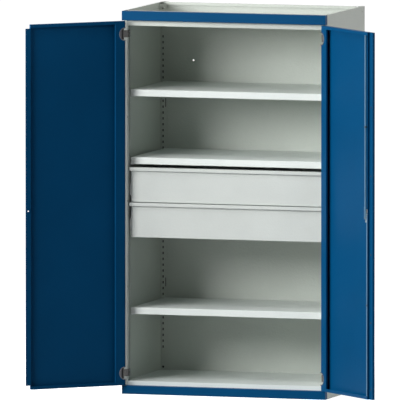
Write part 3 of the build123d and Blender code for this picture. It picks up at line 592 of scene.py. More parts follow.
class Bench:
    """The workbench: every new piece starts as a primitive and is shaped in edit mode."""

    def settle(self, name: str) -> Piece:
        """Names the new primitive and moves its place into its mesh.

        Args:
            name: The piece's name.

        Returns:
            The piece.
        """
        piece = bpy.context.object
        piece.name = piece.data.name = name
        bpy.ops.object.transform_apply(location=True, rotation=True, scale=True)
        return piece

    def block(self, name: str, low: Point, high: Point) -> Piece:
        """Starts a piece as a cube between two corners.

        Args:
            name: The piece's name.
            low: Its lowest corner.
            high: Its highest corner.

        Returns:
            The piece.
        """
        low, high = Vector(low), Vector(high)
        bpy.ops.object.select_all(action="DESELECT")
        bpy.ops.mesh.primitive_cube_add(size=1.0, location=(low + high) / 2, scale=high - low)
        return self.settle(name)

    def turned(self, name: str, start: Point, way: Point, profile: Profile, sides: int) -> Piece:
        """Builds a round piece ring by ring from a disc, as on a lathe.

        Args:
            name: The piece's name.
            start: The point on its axis that heights are counted from.
            way: The direction of its axis.
            profile: Radius and height of each ring.
            sides: Number of sides.

        Returns:
            The piece, closed at both ends.
        """
        first_radius, first_height = profile[0]
        bpy.ops.object.select_all(action="DESELECT")
        bpy.ops.mesh.primitive_circle_add(
            vertices=sides, radius=first_radius, fill_type="NGON", location=(0.0, 0.0, first_height)
        )
        piece = self.settle(name)
        with self.editing(piece):
            bpy.ops.mesh.select_all(action="SELECT")
            for (radius, height), (next_radius, next_height) in zip(profile, profile[1:]):
                self.extrude((0.0, 0.0, next_height - height))
                grow = next_radius / radius
                self.resize((grow, grow, 1.0), (0.0, 0.0, next_height))
            self.face_out()
        piece.data.transform(Matrix.Translation(Vector(start)) @ aimed(way))
        return piece

    def lathed(self, name: str, start: Point, way: Point, profile: Profile, sides: int) -> Piece:
        """Builds a round piece and smooths its shading."""
        return self.finish(self.turned(name, start, way, profile, sides))

    @contextmanager
    def editing(self, piece: Piece) -> Iterator[None]:
        """Opens a piece in edit mode, alone.

        Args:
            piece: The piece.

        Yields:
            Nothing, while the piece is open.
        """
        self.choose(piece)
        bpy.ops.object.mode_set(mode="EDIT")
        try:
            yield
        finally:
            bpy.ops.object.mode_set(mode="OBJECT")

    @staticmethod
    def choose(piece: Piece, *others: Piece) -> None:
        """Selects a piece, with any others, and nothing else, and makes it active.

        Args:
            piece: The piece.
            others: The others.
        """
        bpy.ops.object.select_all(action="DESELECT")
        for one in (piece, *others):
            one.select_set(True)
        bpy.context.view_layer.objects.active = piece

    @staticmethod
    def pick(kind: Pick, test: Test) -> None:
        """Selects the parts of the open mesh that pass a test, and nothing else.

        Args:
            kind: Whether vertices, edges or faces are selected.
            test: Takes the part's middle, and its normal or, for an edge, its direction.
        """
        bpy.ops.mesh.select_mode(type=kind.value)
        bpy.ops.mesh.select_all(action="DESELECT")
        data = bpy.context.edit_object.data
        mesh = bmesh.from_edit_mesh(data)
        if kind is Pick.VERTS:
            parts = [(vert, vert.co, vert.normal) for vert in mesh.verts]
        elif kind is Pick.EDGES:
            ends = [(edge, *(vert.co for vert in edge.verts)) for edge in mesh.edges]
            parts = [(edge, (start + end) / 2, (end - start).normalized()) for edge, start, end in ends]
        else:
            parts = [(face, face.calc_center_median(), face.normal) for face in mesh.faces]
        for part, middle, way in parts:
            if test(middle, way):
                part.select_set(True)
        mesh.select_flush_mode()
        bmesh.update_edit_mesh(data)

    @staticmethod
    def extrude(step: Point) -> None:
        """Draws the selected region out by a step."""
        bpy.ops.mesh.extrude_region_move(TRANSFORM_OT_translate={"value": step})

    @staticmethod
    def resize(value: Point, middle: Point) -> None:
        """Scales the selected region about a point."""
        bpy.ops.transform.resize(value=value, center_override=middle)

    @staticmethod
    def face_out() -> None:
        """Turns all faces of the open mesh outwards."""
        bpy.ops.mesh.select_all(action="SELECT")
        bpy.ops.mesh.normals_make_consistent(inside=False)

    def round_edges(self, test: Test, radius: float, segments: int) -> None:
        """Rounds the edges of the open mesh whose middle and direction pass a test."""
        self.pick(Pick.EDGES, test)
        bpy.ops.mesh.bevel(offset=radius, segments=segments, affect="EDGES")

    def cut_across(self, at: Point, normal: Point) -> None:
        """Adds a ring of edges where a plane crosses the open mesh."""
        bpy.ops.mesh.select_all(action="SELECT")
        bpy.ops.mesh.bisect(plane_co=at, plane_no=normal)

    def apply(self, piece: Piece, kind: str, **settings: object) -> None:
        """Adds a modifier to a piece and applies it.

        Args:
            piece: The piece.
            kind: The modifier's type.
            settings: Its properties.
        """
        self.choose(piece)
        modifier = piece.modifiers.new(kind.lower(), kind)
        for name, value in settings.items():
            setattr(modifier, name, value)
        bpy.ops.object.modifier_apply(modifier=modifier.name)

    def bore(self, piece: Piece, tool: Piece) -> None:
        """Cuts a tool's shape out of a piece and removes the tool."""
        self.apply(piece, "BOOLEAN", object=tool, operation="DIFFERENCE", solver="EXACT")
        bpy.data.objects.remove(tool)

    def drill(self, piece: Piece, start: Point, way: Point, radius: float, reach: Span, sides: int) -> None:
        """Cuts a straight hole between two heights above a point."""
        self.bore(piece, self.turned("drill", start, way, [(radius, height) for height in reach], sides))

    def finish(self, piece: Piece, rim: float = 0.0, segments: int = 2) -> Piece:
        """Rounds a piece's sharp edges and smooths its shading.

        Args:
            piece: The piece.
            rim: Radius of the rounding, or 0 for none.
            segments: Number of steps in it.

        Returns:
            The same piece.
        """
        if rim:
            self.apply(
                piece, "BEVEL", width=rim, segments=segments, limit_method="ANGLE", angle_limit=EDGE_ANGLE
            )
        self.choose(piece)
        bpy.ops.object.shade_smooth_by_angle(angle=SMOOTH_ANGLE)
        return piece

    def copied(self, piece: Piece, move: Matrix) -> Piece:
        """Copies a piece with its own mesh to another place, also mirrored.

        Args:
            piece: The piece.
            move: The move from the piece to its copy.

        Returns:
            The copy.
        """
        twin = piece.copy()
        twin.data = piece.data.copy()
        bpy.context.scene.collection.objects.link(twin)
        twin.data.transform(move)
        if move.determinant() < 0:
            twin.data.flip_normals()
        return twin

    def joined(self, name: str, pieces: Sequence[Piece]) -> Piece:
        """Joins pieces into one mesh.

        Args:
            name: The joined piece's name.
            pieces: The pieces.

        Returns:
            The joined piece.
        """
        self.choose(*pieces)
        bpy.ops.object.join()
        pieces[0].name = pieces[0].data.name = name
        return pieces[0]

    def spread(self, name: str, piece: Piece, moves: Sequence[Matrix]) -> Piece:
        """Copies a piece to many places as one mesh and removes the first.

        Args:
            name: The joined copies' name.
            piece: The piece.
            moves: The move to each copy.

        Returns:
            The joined copies.
        """
        copies = [self.copied(piece, move) for move in moves]
        bpy.data.objects.remove(piece)
        return self.joined(name, copies)


BENCH = Bench()


# Places that several sub-assemblies share

FRONT_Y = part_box("fascia")[0].y


def joint(name: str) -> dict:
    """The record's joint of that name."""
    return next(entry for entry in frame["joints"] if entry["name"] == name)


def opened(side: Side) -> Matrix:
    """The turn that takes a piece drawn on a closed door to where the open door stands.

    Args:
        side: The door's side.

    Returns:
        The turn about the door's hinge.
    """
    hinge = joint(f"{side.label}_door_hinge")
    pivot = Vector(hinge["pos_m"])
    turn = Matrix.Rotation(-math.radians(hinge["range_deg"][1]), 4, Vector(hinge["axis"]))
    return Matrix.Translation(pivot) @ turn @ Matrix.Translation(-pivot)


def deep(distance: float) -> float:
    """The Y of a plane so far behind the closed doors' outer face."""
    return FRONT_Y + distance


class Assembly:
    """A sub-assembly that dresses its pieces and hangs them on the frame."""

    def __init__(self, paintbox: Paintbox) -> None:
        """Takes the shared paints."""
        self.paintbox = paintbox

    def fit(
        self, piece: Piece, body: str, slot: Slot, nodes: Sequence[str] = (), finish: Finish | None = None
    ) -> None:
        """Hangs a finished piece on its body and dresses it.

        Args:
            piece: The piece.
            body: The body that it rides on.
            slot: The record's slot that it takes its finish from.
            nodes: The CAD nodes that it stands for.
            finish: Its finish, if it isn't the slot's own.
        """
        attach(piece, body)
        if nodes:
            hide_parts(*nodes)
        self.paintbox.dress(piece, finish or SLOT_FINISHES[slot])
        log.info("%s: %d faces, on %s", piece.name, len(piece.data.polygons), body)


# Hinges

@dataclass(frozen=True)
class HingeSizes:
    """Sizes of the concealed arm hinges."""

    arm_thickness: float = 0.0045
    arm_height: float = 0.036
    arm_bend: float = 45.0
    barrel_length: float = 0.0574
    barrel_radius: float = 0.0042
    barrel_neck: float = 0.0004
    cup_radius: float = 0.031
    cup_wall: float = 0.0010
    cup_start: float = 0.0012
    cup_rim: float = 0.0262
    cup_flange: float = 1.10
    cup_sides: int = 64
    ear_length: float = 0.0058
    screw_depth: float = 0.051
    screw_step: float = 0.020
    screw_head_radius: float = 0.0055
    screw_head_height: float = 0.003
    screw_chamfer: float = 0.0005
    screw_shank_radius: float = 0.003
    screw_shank_length: float = 0.0072
    socket_radius: float = 0.0027
    socket_depth: float = 0.0018


class Hinges(Assembly):
    """Two hinges a side: bent arms on the jambs, half-round cups in the doors, and their screws."""

    sizes = HingeSizes()

    def build(self) -> None:
        """Makes the hinges of both sides."""
        low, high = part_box("right_hinge_arms")
        half = self.sizes.barrel_length / 2
        self.heights = (low.z + half, high.z - half)
        self.pin = Vector(joint("right_door_hinge")["pos_m"])
        self.jamb_x = low.x + self.sizes.arm_thickness
        self.lip_end = high.y
        makers = (("bent_arms", self.make_arm), ("rimmed_cups", self.make_cup))
        right = [
            BENCH.joined(f"right_hinge_{kind}", [make(z) for z in self.heights]) for kind, make in makers
        ]
        left = [BENCH.copied(piece, Matrix.Scale(-1.0, 4, ACROSS)) for piece in right]
        for (kind, _), piece in zip(makers, left):
            piece.name = piece.data.name = f"left_hinge_{kind}"
        for side, (arm, cup) in ((Side.RIGHT, right), (Side.LEFT, left)):
            cup.data.transform(opened(side))
            self.fit(arm, "cabinet", Slot.ZINC, [f"{side.label}_hinge_arms"], DARK_ZINC)
            self.fit(cup, f"{side.label}_door", Slot.ZINC, [f"{side.label}_hinge_cups"], CUP_ZINC)
        self.fit(self.make_screws(), "cabinet", Slot.ZINC, ["hinge_screws"])

    def make_arm(self, z: float) -> Piece:
        """Models one arm of the right side, from the jamb's lip to the pin.

        Args:
            z: The hinge's height.

        Returns:
            The arm.
        """
        s = self.sizes
        leaf_x = self.jamb_x - s.arm_thickness / 2
        knee_y = self.pin.y + self.pin.x - leaf_x
        lean = s.arm_thickness / 2 * math.tan(math.radians(s.arm_bend / 2))
        half = s.arm_height / 2
        low = (self.jamb_x - s.arm_thickness, knee_y, z - half)
        arm = BENCH.block("hinge_arm", low, (self.jamb_x, self.lip_end, z + half))
        with BENCH.editing(arm):
            for sign in (-1, 1):
                BENCH.pick(Pick.VERTS, lambda at, _: at.y < knee_y + TOUCH and sign * (at.x - leaf_x) > 0)
                bpy.ops.transform.translate(value=(0.0, sign * lean, 0.0))
            BENCH.pick(Pick.FACES, lambda _, normal: normal.y < -0.5)
            BENCH.extrude((self.pin.x - leaf_x, self.pin.y - knee_y, 0.0))
        BENCH.finish(arm, rim=0.0009, segments=3)
        r, neck = s.barrel_radius, s.barrel_neck
        end = s.barrel_length / 2
        lower = [(r - 2 * neck, -end), (r, -end + 2 * neck), (r, -half - neck), (r - neck, -half)]
        profile = lower + [(radius, -height) for radius, height in reversed(lower)]
        barrel = BENCH.lathed("hinge_barrel", (self.pin.x, self.pin.y, z), UP, profile, 28)
        return BENCH.joined("hinge_arm", [arm, barrel])

    def make_cup(self, z: float) -> Piece:
        """Models one cup of the closed right door: a half-round pan with ears and a rolled flange.

        Args:
            z: The hinge's height.

        Returns:
            The cup.
        """
        s = self.sizes
        start_y, rim_y = deep(s.cup_start), deep(s.cup_rim)
        ear_x = self.pin.x + s.ear_length
        bpy.ops.object.select_all(action="DESELECT")
        bpy.ops.mesh.primitive_circle_add(
            vertices=s.cup_sides,
            radius=s.cup_radius - s.cup_wall / 2,
            location=(self.pin.x, start_y, z),
            rotation=(math.pi / 2, 0.0, 0.0),
        )
        cup = BENCH.settle("hinge_cup")
        with BENCH.editing(cup):
            bpy.ops.mesh.select_all(action="SELECT")
            bpy.ops.mesh.bisect(plane_co=self.pin, plane_no=ACROSS, clear_outer=True)
            BENCH.pick(Pick.VERTS, lambda at, _: at.x > self.pin.x - TOUCH)
            BENCH.extrude((s.ear_length, 0.0, 0.0))
            bpy.ops.mesh.select_mode(type="EDGE")
            bpy.ops.mesh.select_all(action="SELECT")
            BENCH.extrude((0.0, rim_y - start_y, 0.0))
            BENCH.pick(Pick.EDGES, lambda at, way: at.y > rim_y - TOUCH and abs(way.y) < 0.5)
            BENCH.extrude((0.0, 0.0, 0.0))
            BENCH.resize((s.cup_flange, 1.0, s.cup_flange), (self.pin.x, rim_y, z))
            BENCH.pick(Pick.VERTS, lambda at, _: at.x > ear_x + TOUCH)
            BENCH.resize((0.0, 1.0, 1.0), (ear_x, rim_y, z))
            BENCH.pick(Pick.EDGES, lambda at, way: at.y < start_y + TOUCH and abs(way.y) < 0.5)
            bpy.ops.mesh.edge_face_add()
            BENCH.face_out()
        BENCH.apply(cup, "SOLIDIFY", thickness=s.cup_wall, offset=0.0, use_even_offset=True)
        return BENCH.finish(cup, rim=0.0003)

    def make_screws(self) -> Piece:
        """Models one socket-head screw and copies it to both holes of every arm.

        Returns:
            The screws, as one piece.
        """
        s = self.sizes
        head = s.screw_head_height
        shank = [(s.screw_shank_radius, -s.screw_shank_length), (s.screw_shank_radius, 0.0)]
        profile = shank + disc(s.screw_head_radius, head, s.screw_chamfer)
        origin = (0.0, 0.0, 0.0)
        screw = BENCH.turned("hinge_screw", origin, UP, profile, 28)
        BENCH.drill(screw, origin, UP, s.socket_radius, (head - s.socket_depth, head + s.socket_depth), 6)
        BENCH.finish(screw)
        leaf_x = self.jamb_x - s.arm_thickness
        places = [
            Matrix.Scale(side.value, 4, ACROSS)
            @ Matrix.Translation((leaf_x, deep(s.screw_depth), z + step * s.screw_step))
            @ aimed((-1.0, 0.0, 0.0))
            for side in Side for z in self.heights for step in (-0.5, 0.5)
        ]
        return BENCH.spread("hinge_socket_screws", screw, places)


# Lock

@dataclass(frozen=True)
class LockSizes:
    """Sizes of the handle, the lock case, the cam and the rod guides, on the closed door."""

    dish_depth: float = 0.010
    dish_floor: float = 0.0015
    dish_radius: float = 0.024
    flange_radius: float = 0.028
    flange_height: float = 0.002
    grip_length: float = 0.042
    grip_width: float = 0.013
    grip_waist: float = 0.82
    grip_panel: float = 0.0016
    grip_recess: float = 0.0007
    grip_front: float = -0.012
    grip_back: float = 0.006
    hub_radius: float = 0.011
    hub_back: float = 0.0083
    key_radius: float = 0.006
    key_play: float = 0.0001
    key_back: float = -0.0023
    key_front: float = -0.0125
    slot_width: float = 0.0015
    slot_length: float = 0.007
    slot_depth: float = 0.005
    spindle_radius: float = 0.005
    spindle_play: float = 0.0002
    spindle_socket: float = 0.0016
    case_width: float = 0.036
    case_height: float = 0.068
    case_back: float = 0.010
    case_face: float = 0.0135
    case_foot: float = 0.0015
    case_leg: float = 0.008
    case_corner: float = 0.003
    screw_inset: float = 0.0045
    screw_radius: float = 0.0045
    screw_height: float = 0.002
    shank_radius: float = 0.0025
    shank_length: float = 0.0086
    cross_length: float = 0.0020
    cross_width: float = 0.0004
    cross_depth: float = 0.0011
    cam_back: float = 0.0138
    cam_face: float = 0.0168
    cam_radius: float = 0.015
    cam_width: float = 0.013
    cam_hub: float = 0.010
    cam_play: float = 0.00002
    cam_slant: float = 45.0
    pin_radius: float = 0.003
    pin_height: float = 0.0038
    rod_depth: float = 0.018
    rod_bore: float = 0.00506
    guide_offset: float = 0.450
    guide_width: float = 0.016
    guide_height: float = 0.010
    guide_top: float = 0.0245
    guide_foot: float = 0.003
    guide_flare: float = 0.003
    guide_shoulder: float = 0.0062


class Lock(Assembly):
    """The turn handle, its key cylinder, and the case, cam and guides behind it."""

    sizes = LockSizes()

    def build(self) -> None:
        """Makes the lock's pieces in the closed door, turns them to the open one and fits them."""
        turn = opened(Side.RIGHT)
        axis = turn.inverted() @ Vector(joint("handle_turn")["pos_m"])
        self.x, self.z = axis.x, axis.z
        self.throw = self.sizes.cam_radius * math.cos(math.radians(self.sizes.cam_slant))
        for make, body, slot, nodes in (
            (self.make_dish, "right_door", Slot.HANDLE, ["handle_dish"]),
            (self.make_grip, "handle", Slot.HANDLE, ["turn_grip"]),
            (self.make_spindle, "handle", Slot.LOCK_ZINC, []),
            (self.make_key, "key_barrel", Slot.CYLINDER, ["key_cylinder"]),
            (self.make_case, "right_door", Slot.LOCK_ZINC, ["lock_case"]),
            (self.make_case_screws, "right_door", Slot.ZINC, ["lock_case_screws"]),
            (self.make_cam, "handle", Slot.LOCK_ZINC, ["lock_cam"]),
            (self.make_guides, "right_door", Slot.GUIDE, ["rod_guides"]),
        ):
            piece = make()
            piece.data.transform(turn)
            self.fit(piece, body, slot, nodes)

    def at(self, depth: float, dx: float = 0.0, dz: float = 0.0) -> Vector:
        """A point so far behind the door's face, beside the lock's axis."""
        return Vector((self.x + dx, deep(depth), self.z + dz))

    def slab(
        self, name: str, reach: Span, wide: float, tall: float, dx: float = 0.0, dz: float = 0.0
    ) -> Piece:
        """Starts a block between two depths, by half its width and height and its middle."""
        front, back = reach
        return BENCH.block(name, self.at(front, dx - wide, dz - tall), self.at(back, dx + wide, dz + tall))

    def make_dish(self) -> Piece:
        """Turns the recessed dish with its rounded flange.

        Returns:
            The dish.
        """
        s = self.sizes
        floor, face, top = s.dish_floor, s.dish_depth, s.dish_depth + s.flange_height
        wide, bore = s.flange_radius, s.dish_radius
        profile = [
            (bore - 0.0010, 0.0), (bore, 0.0006), (bore, face), (wide, face), (wide, top - 0.0010),
            (wide - 0.0004, top - 0.0003), (wide - 0.0012, top), (bore + 0.0002, top),
            (bore - 0.0012, top - 0.0006), (bore - 0.0018, top - 0.0020), (bore - 0.0032, floor + 0.0012),
            (bore - 0.0042, floor), (0.0150, floor), (0.0146, floor - 0.0004), (0.0140, floor - 0.0004),
            (0.0136, floor), (0.0056, floor),
        ]
        return BENCH.lathed("handle_dish_moulding", self.at(s.dish_depth), OUTWARD, profile, 64)

    def make_grip(self) -> Piece:
        """Models the turn grip: a waisted bar with rounded ends on a round hub.

        Returns:
            The grip.
        """
        s = self.sizes
        half, middle = s.grip_width / 2, self.at(0.0)
        bar = self.slab("grip_bar", (s.grip_front, s.grip_back), s.grip_length / 2, half)
        with BENCH.editing(bar):
            BENCH.round_edges(lambda _, way: abs(way.y) > ALONG, half * 0.96, 7)
            for dx in (-s.hub_radius, s.hub_radius):
                BENCH.cut_across(self.at(0.0, dx), ACROSS)
            BENCH.pick(Pick.VERTS, lambda at, _: abs(abs(at.x - self.x) - s.hub_radius) < TOUCH)
            BENCH.resize((1.0, 1.0, s.grip_waist), middle)
            BENCH.pick(Pick.FACES, lambda _, normal: normal.y < -ALONG)
            bpy.ops.mesh.inset(thickness=s.grip_panel, depth=0.0)
            BENCH.extrude((0.0, s.grip_recess, 0.0))
            BENCH.resize((0.97, 1.0, 0.85), middle)
            BENCH.pick(Pick.FACES, lambda at, normal: normal.y > ALONG and at.y > deep(s.grip_back) - TOUCH)
            BENCH.resize((0.94, 1.0, 0.86), middle)
        BENCH.finish(bar, rim=0.0008, segments=3)
        r, top = s.hub_radius, s.hub_back - s.grip_front
        bore, bore_end = s.key_radius + s.key_play, s.hub_back - s.key_back - 0.0002
        profile = [
            (r - 0.0012, 0.0), (r, 0.0010), (r, top - 0.0012), (r - 0.0004, top - 0.0004), (r - 0.0014, top),
            (r - 0.0030, top), (r - 0.0036, top - 0.0006), (bore, top - 0.0006), (bore, bore_end),
        ]
        hub = BENCH.lathed("grip_hub", self.at(s.hub_back), OUTWARD, profile, 48)
        return BENCH.joined("turn_grip_moulding", [bar, hub])

    def make_spindle(self) -> Piece:
        """Turns the spindle that reaches from the grip through the case to the cam, with its end screw.

        Returns:
            The spindle.
        """
        s = self.sizes
        start, end = self.at(s.grip_back), s.cam_face - s.grip_back
        screw_end = [(0.0036, end), (0.0036, end + 0.0010), (0.0030, end + 0.0016)]
        profile = disc(s.spindle_radius, end, 0.0004) + screw_end
        spindle = BENCH.turned("grip_spindle", start, INWARD, profile, 32)
        BENCH.drill(spindle, start, INWARD, s.spindle_socket, (end + 0.0004, end + 0.0030), 6)
        return BENCH.finish(spindle)

    def make_key(self) -> Piece:
        """Turns the key cylinder with its plug groove and cuts the key slot.

        Returns:
            The cylinder.
        """
        s = self.sizes
        r, top = s.key_radius, s.key_back - s.key_front
        profile = [
            (r - 0.0003, 0.0), (r, 0.0003), (r, top - 0.0007), (r - 0.0006, top), (r - 0.0011, top),
            (r - 0.0012, top - 0.0004), (r - 0.0015, top - 0.0004), (r - 0.0016, top - 0.0001),
        ]
        key = BENCH.turned("key_cylinder_plug", self.at(s.key_back), OUTWARD, profile, 40)
        reach = (s.key_front - s.slot_depth, s.key_front + s.slot_depth)
        BENCH.bore(key, self.slab("key_slot", reach, s.slot_width / 2, s.slot_length / 2))
        return BENCH.finish(key)

    def make_case(self) -> Piece:
        """Models the lock case: a plate with rounded corners on two legs.

        Returns:
            The case.
        """
        s = self.sizes
        tall = s.case_height / 2
        case = self.slab("lock_case_plate", (s.case_back, s.case_face), s.case_width / 2, tall)
        with BENCH.editing(case):
            BENCH.round_edges(lambda _, way: abs(way.y) > ALONG, s.case_corner, 5)
            for dz in (s.case_leg - tall, tall - s.case_leg):
                BENCH.cut_across(self.at(0.0, 0.0, dz), UP)
            BENCH.pick(
                Pick.FACES, lambda at, normal: normal.y < -ALONG and abs(at.z - self.z) > tall - s.case_leg
            )
            BENCH.extrude((0.0, s.case_foot - s.case_back, 0.0))
        reach = (s.case_back - MARGIN, s.case_face + MARGIN)
        BENCH.drill(case, self.at(0.0), INWARD, s.spindle_radius + s.spindle_play, reach, 40)
        return BENCH.finish(case, rim=0.0007, segments=3)

    def make_case_screws(self) -> Piece:
        """Models one cross-recessed pan-head screw and copies it to the case's corners.

        Returns:
            The screws, as one piece.
        """
        s = self.sizes
        r, top = s.screw_radius, s.screw_height
        profile = [
            (s.shank_radius, -s.shank_length), (s.shank_radius, 0.0), (r, 0.0), (r, top * 0.35),
            (r * 0.93, top * 0.65), (r * 0.78, top * 0.88), (r * 0.55, top),
        ]
        screw = BENCH.turned("case_screw", (0.0, 0.0, 0.0), UP, profile, 28)
        low, high = top - s.cross_depth, top + MARGIN
        for wide, tall in ((s.cross_length, s.cross_width), (s.cross_width, s.cross_length)):
            BENCH.bore(screw, BENCH.block("recess", (-wide, -tall, low), (wide, tall, high)))
        BENCH.finish(screw)
        dx, dz = s.case_width / 2 - s.screw_inset, s.case_height / 2 - s.screw_inset
        places = [
            Matrix.Translation(self.at(s.case_face, across * dx, along * dz))
            @ aimed(INWARD)
            @ Matrix.Rotation(0.4 + 1.3 * across * along, 4, "Z")
            for across in (-1, 1) for along in (-1, 1)
        ]
        return BENCH.spread("lock_case_pan_screws", screw, places)

    def make_cam(self) -> Piece:
        """Models the cam: a slanting bar with round ends, a raised hub and two riveted pins.

        Returns:
            The cam.
        """
        s = self.sizes
        half, middle = s.cam_width / 2, self.at(0.0)
        bar = self.slab("lock_cam_bar", (s.cam_back, s.cam_face), s.cam_radius + half, half)
        with BENCH.editing(bar):
            BENCH.round_edges(lambda _, way: abs(way.y) > ALONG, half * 0.98, 8)
        BENCH.finish(bar, rim=0.0005)
        turn = Matrix.Rotation(math.radians(s.cam_slant), 4, "Y")
        bar.data.transform(Matrix.Translation(middle) @ turn @ Matrix.Translation(-middle))
        profile = disc(s.cam_hub, s.cam_face - s.cam_back, 0.0005)
        hub = BENCH.lathed("cam_hub", self.at(s.cam_back), INWARD, profile, 48)
        for piece in (bar, hub):
            reach = (s.cam_back - MARGIN, s.rod_depth)
            BENCH.drill(piece, middle, INWARD, s.spindle_radius + s.cam_play, reach, 40)
        r, top = s.pin_radius, s.pin_height
        rivet = [(r, 0.0), (r, top - 0.0008), (r - 0.0003, top - 0.0003), (r - 0.0011, top)]
        pins = [
            BENCH.lathed("cam_pin", self.at(s.cam_face, reach, -reach), INWARD, rivet, 28)
            for reach in (-self.throw, self.throw)
        ]
        return BENCH.joined("lock_cam_riveted", [bar, hub, *pins])

    def make_guides(self) -> Piece:
        """Models the saddles that hold the two rods against the door skin.

        Returns:
            The guides, as one piece.
        """
        s = self.sizes
        foot = s.case_foot + s.guide_foot
        guides = []
        for sign in (-1, 1):
            dx, dz = sign * self.throw, sign * s.guide_offset
            reach = (s.case_foot, s.guide_top)
            saddle = self.slab("rod_saddle", reach, s.guide_width / 2, s.guide_height / 2, dx, dz)
            with BENCH.editing(saddle):
                BENCH.round_edges(
                    lambda at, way: abs(way.z) > ALONG and at.y > deep(s.rod_depth), s.guide_shoulder, 6
                )
                BENCH.cut_across(self.at(foot), INWARD)
                BENCH.pick(Pick.FACES, lambda at, normal: abs(normal.x) > ALONG and at.y < deep(foot))
                bpy.ops.mesh.extrude_region_shrink_fatten(
                    TRANSFORM_OT_shrink_fatten={"value": s.guide_flare}
                )
            through = (-s.guide_height, s.guide_height)
            BENCH.drill(saddle, self.at(s.rod_depth, dx, dz), UP, s.rod_bore, through, 32)
            guides.append(BENCH.finish(saddle, rim=0.0005))
        return BENCH.joined("rod_guide_saddles", guides)


# Meeting edge of the right door

@dataclass(frozen=True)
class BufferSizes:
    """Sizes and heights of the rubber buffers on the right door's rebate."""

    heights: tuple[float, ...] = (0.096, 0.433, 0.777, 1.174, 1.521)
    x: float = 0.0175
    rebate: float = 0.014
    radius: float = 0.004
    height: float = 0.0017


class Buffers(Assembly):
    """Small domed rubber buffers, pressed on the meeting edge."""

    sizes = BufferSizes()

    def build(self) -> None:
        """Turns one buffer and copies it down the edge."""
        s = self.sizes
        r, h = s.radius, s.height
        profile = [(r, 0.0), (r, h * 0.4), (r * 0.93, h * 0.68), (r * 0.72, h * 0.9), (r * 0.35, h)]
        buffer = BENCH.lathed("edge_buffer", (s.x, deep(s.rebate), 0.0), INWARD, profile, 24)
        moves = [Matrix.Translation((0.0, 0.0, z)) for z in s.heights]
        domes = BENCH.spread("edge_buffer_domes", buffer, moves)
        domes.data.transform(opened(Side.RIGHT))
        self.fit(domes, "right_door", Slot.RUBBER, ["edge_buffers"])


# Studio

@dataclass(frozen=True)
class Lamp:
    """A soft lamp: where it stands as seen from the cabinet, its size and its power."""

    name: str
    turn: float
    rise: float
    width: float
    height: float
    power: float
    distance: float = 8.0


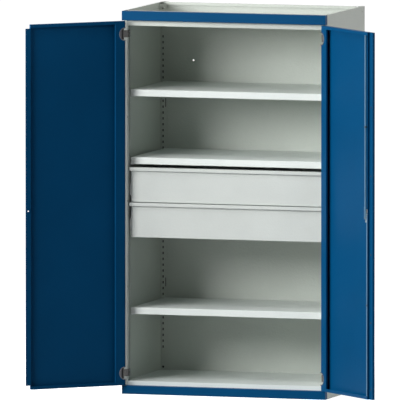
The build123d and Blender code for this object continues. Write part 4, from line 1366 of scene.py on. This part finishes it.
@dataclass(frozen=True)
class Studio:
    """Pale floor, soft light and the camera of the photograph."""

    turn: float = 17.456
    rise: float = 4.937
    frame_width: float = 2.0299
    lens: float = 1650.0
    sensor: float = 36.0
    aim: Point = (-0.1687, -0.2, 0.9857)
    lamps: tuple[Lamp, ...] = (
        Lamp("key", turn=-43.0, rise=17.0, width=7.4, height=2.2, power=775.0),
        Lamp("overhead", turn=-25.0, rise=58.0, width=4.0, height=4.0, power=160.0),
        Lamp("side_fill", turn=100.0, rise=15.0, width=3.0, height=3.0, power=180.0),
    )
    lamp_aim: Point = (0.0, 0.0, 1.0)
    ambient: float = 0.04
    floor_size: float = 60.0
    floor_drop: float = 0.0005
    floor_greys: Span = (0.35, 0.95)
    floor_glow: Span = (0.86, 1.0)
    floor_reach: Span = (0.7, 1.4)

    def build(self) -> None:
        """Makes the floor, the world, the lamps and the camera."""
        self.make_floor()
        self.make_world()
        for lamp in self.lamps:
            self.make_lamp(lamp)
        self.make_camera()

    @staticmethod
    def show(tree: Tree, output: str, hidden: Node, seen: Node) -> None:
        """Ends a tree with two shaders, of which rays that show the background itself meet the second.

        Args:
            tree: The material's or world's tree.
            output: Type name of its output node.
            hidden: The shader that lights the cabinet.
            seen: The shader for camera, glossy and transmission rays.
        """
        path = add_node(tree, "ShaderNodeLightPath").outputs
        mirrored = add_math(tree, "MAXIMUM", path["Is Glossy Ray"], path["Is Transmission Ray"])
        direct = add_math(tree, "MAXIMUM", path["Is Camera Ray"], mirrored)
        mix = add_node(tree, "ShaderNodeMixShader", direct, hidden.outputs[0], seen.outputs[0])
        add_node(tree, output, mix.outputs[0])

    def make_floor(self) -> None:
        """A white floor that keeps the cabinet's shadow."""
        bpy.ops.object.select_all(action="DESELECT")
        bpy.ops.mesh.primitive_plane_add(size=self.floor_size, location=(0.0, 0.0, -self.floor_drop))
        floor = bpy.context.object
        floor.name = "floor"
        material = bpy.data.materials.new("pale_floor")
        material.use_nodes = True
        tree = material.node_tree
        tree.nodes.clear()
        matt, shown = (
            add_node(tree, "ShaderNodeBsdfDiffuse", Color=(grey, grey, grey, 1.0))
            for grey in self.floor_greys
        )
        place = add_node(tree, "ShaderNodeTexCoord").outputs["Object"]
        far = add_node(tree, "ShaderNodeVectorMath", place, operation="LENGTH").outputs["Value"]
        fade = add_node(tree, "ShaderNodeMapRange", far, *self.floor_reach, *self.floor_glow).outputs[0]
        glow = add_node(tree, "ShaderNodeEmission", Color=WHITE, Strength=fade)
        both = add_node(tree, "ShaderNodeAddShader", shown.outputs[0], glow.outputs[0])
        self.show(tree, "ShaderNodeOutputMaterial", matt, both)
        floor.data.materials.append(material)

    def make_world(self) -> None:
        """White where it is seen, and a plain soft light elsewhere."""
        world = bpy.data.worlds.new("studio")
        bpy.context.scene.world = world
        world.use_nodes = True
        tree = world.node_tree
        tree.nodes.clear()
        lighting, white = (
            add_node(tree, "ShaderNodeBackground", Color=WHITE, Strength=level)
            for level in (self.ambient, 1.0)
        )
        self.show(tree, "ShaderNodeOutputWorld", lighting, white)

    def make_lamp(self, lamp: Lamp) -> None:
        """Sets up one soft lamp, which faces the cabinet's middle.

        Args:
            lamp: The lamp's place, size and power.
        """
        data = bpy.data.lights.new(lamp.name, "AREA")
        data.shape = "RECTANGLE"
        data.size, data.size_y = lamp.width, lamp.height
        data.energy = lamp.power
        self.stand(data, lamp.turn, lamp.rise, self.lamp_aim, lamp.distance)

    def make_camera(self) -> None:
        """The photograph's flat view, through a very long lens."""
        data = bpy.data.cameras.new("camera")
        data.sensor_width = self.sensor
        data.lens = self.lens
        distance = self.frame_width * self.lens / self.sensor
        data.clip_end = distance * 3
        bpy.context.scene.camera = self.stand(data, self.turn, self.rise, self.aim, distance)

    @staticmethod
    def stand(data: bpy.types.ID, turn: float, rise: float, aim: Point, distance: float) -> bpy.types.Object:
        """Stands a lamp or camera so that it faces a point.

        Args:
            data: The lamp or camera.
            turn: Degrees from straight in front towards the right.
            rise: Degrees above the horizon.
            aim: The point that it faces.
            distance: How far from the point it stands.

        Returns:
            The lamp's or camera's object.
        """
        a, e = math.radians(turn), math.radians(rise)
        away = Vector((math.sin(a) * math.cos(e), -math.cos(a) * math.cos(e), math.sin(e)))
        holder = bpy.data.objects.new(data.name, data)
        bpy.context.scene.collection.objects.link(holder)
        holder.location = Vector(aim) + away * distance
        holder.rotation_mode = "QUATERNION"
        holder.rotation_quaternion = away.to_track_quat("Z", "Y")
        return holder


def main() -> None:
    """Builds the cabinet's looks around the frame."""
    logging.basicConfig(level=logging.INFO, format="%(name)s: %(message)s")
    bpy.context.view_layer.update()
    bpy.context.scene.view_settings.view_transform = "Standard"
    paintbox = Paintbox()
    paintbox.dress_nodes()
    for assembly in (Hinges, Lock, Buffers):
        assembly(paintbox).build()
    Studio().build()


if __name__ == "__main__":
    main()
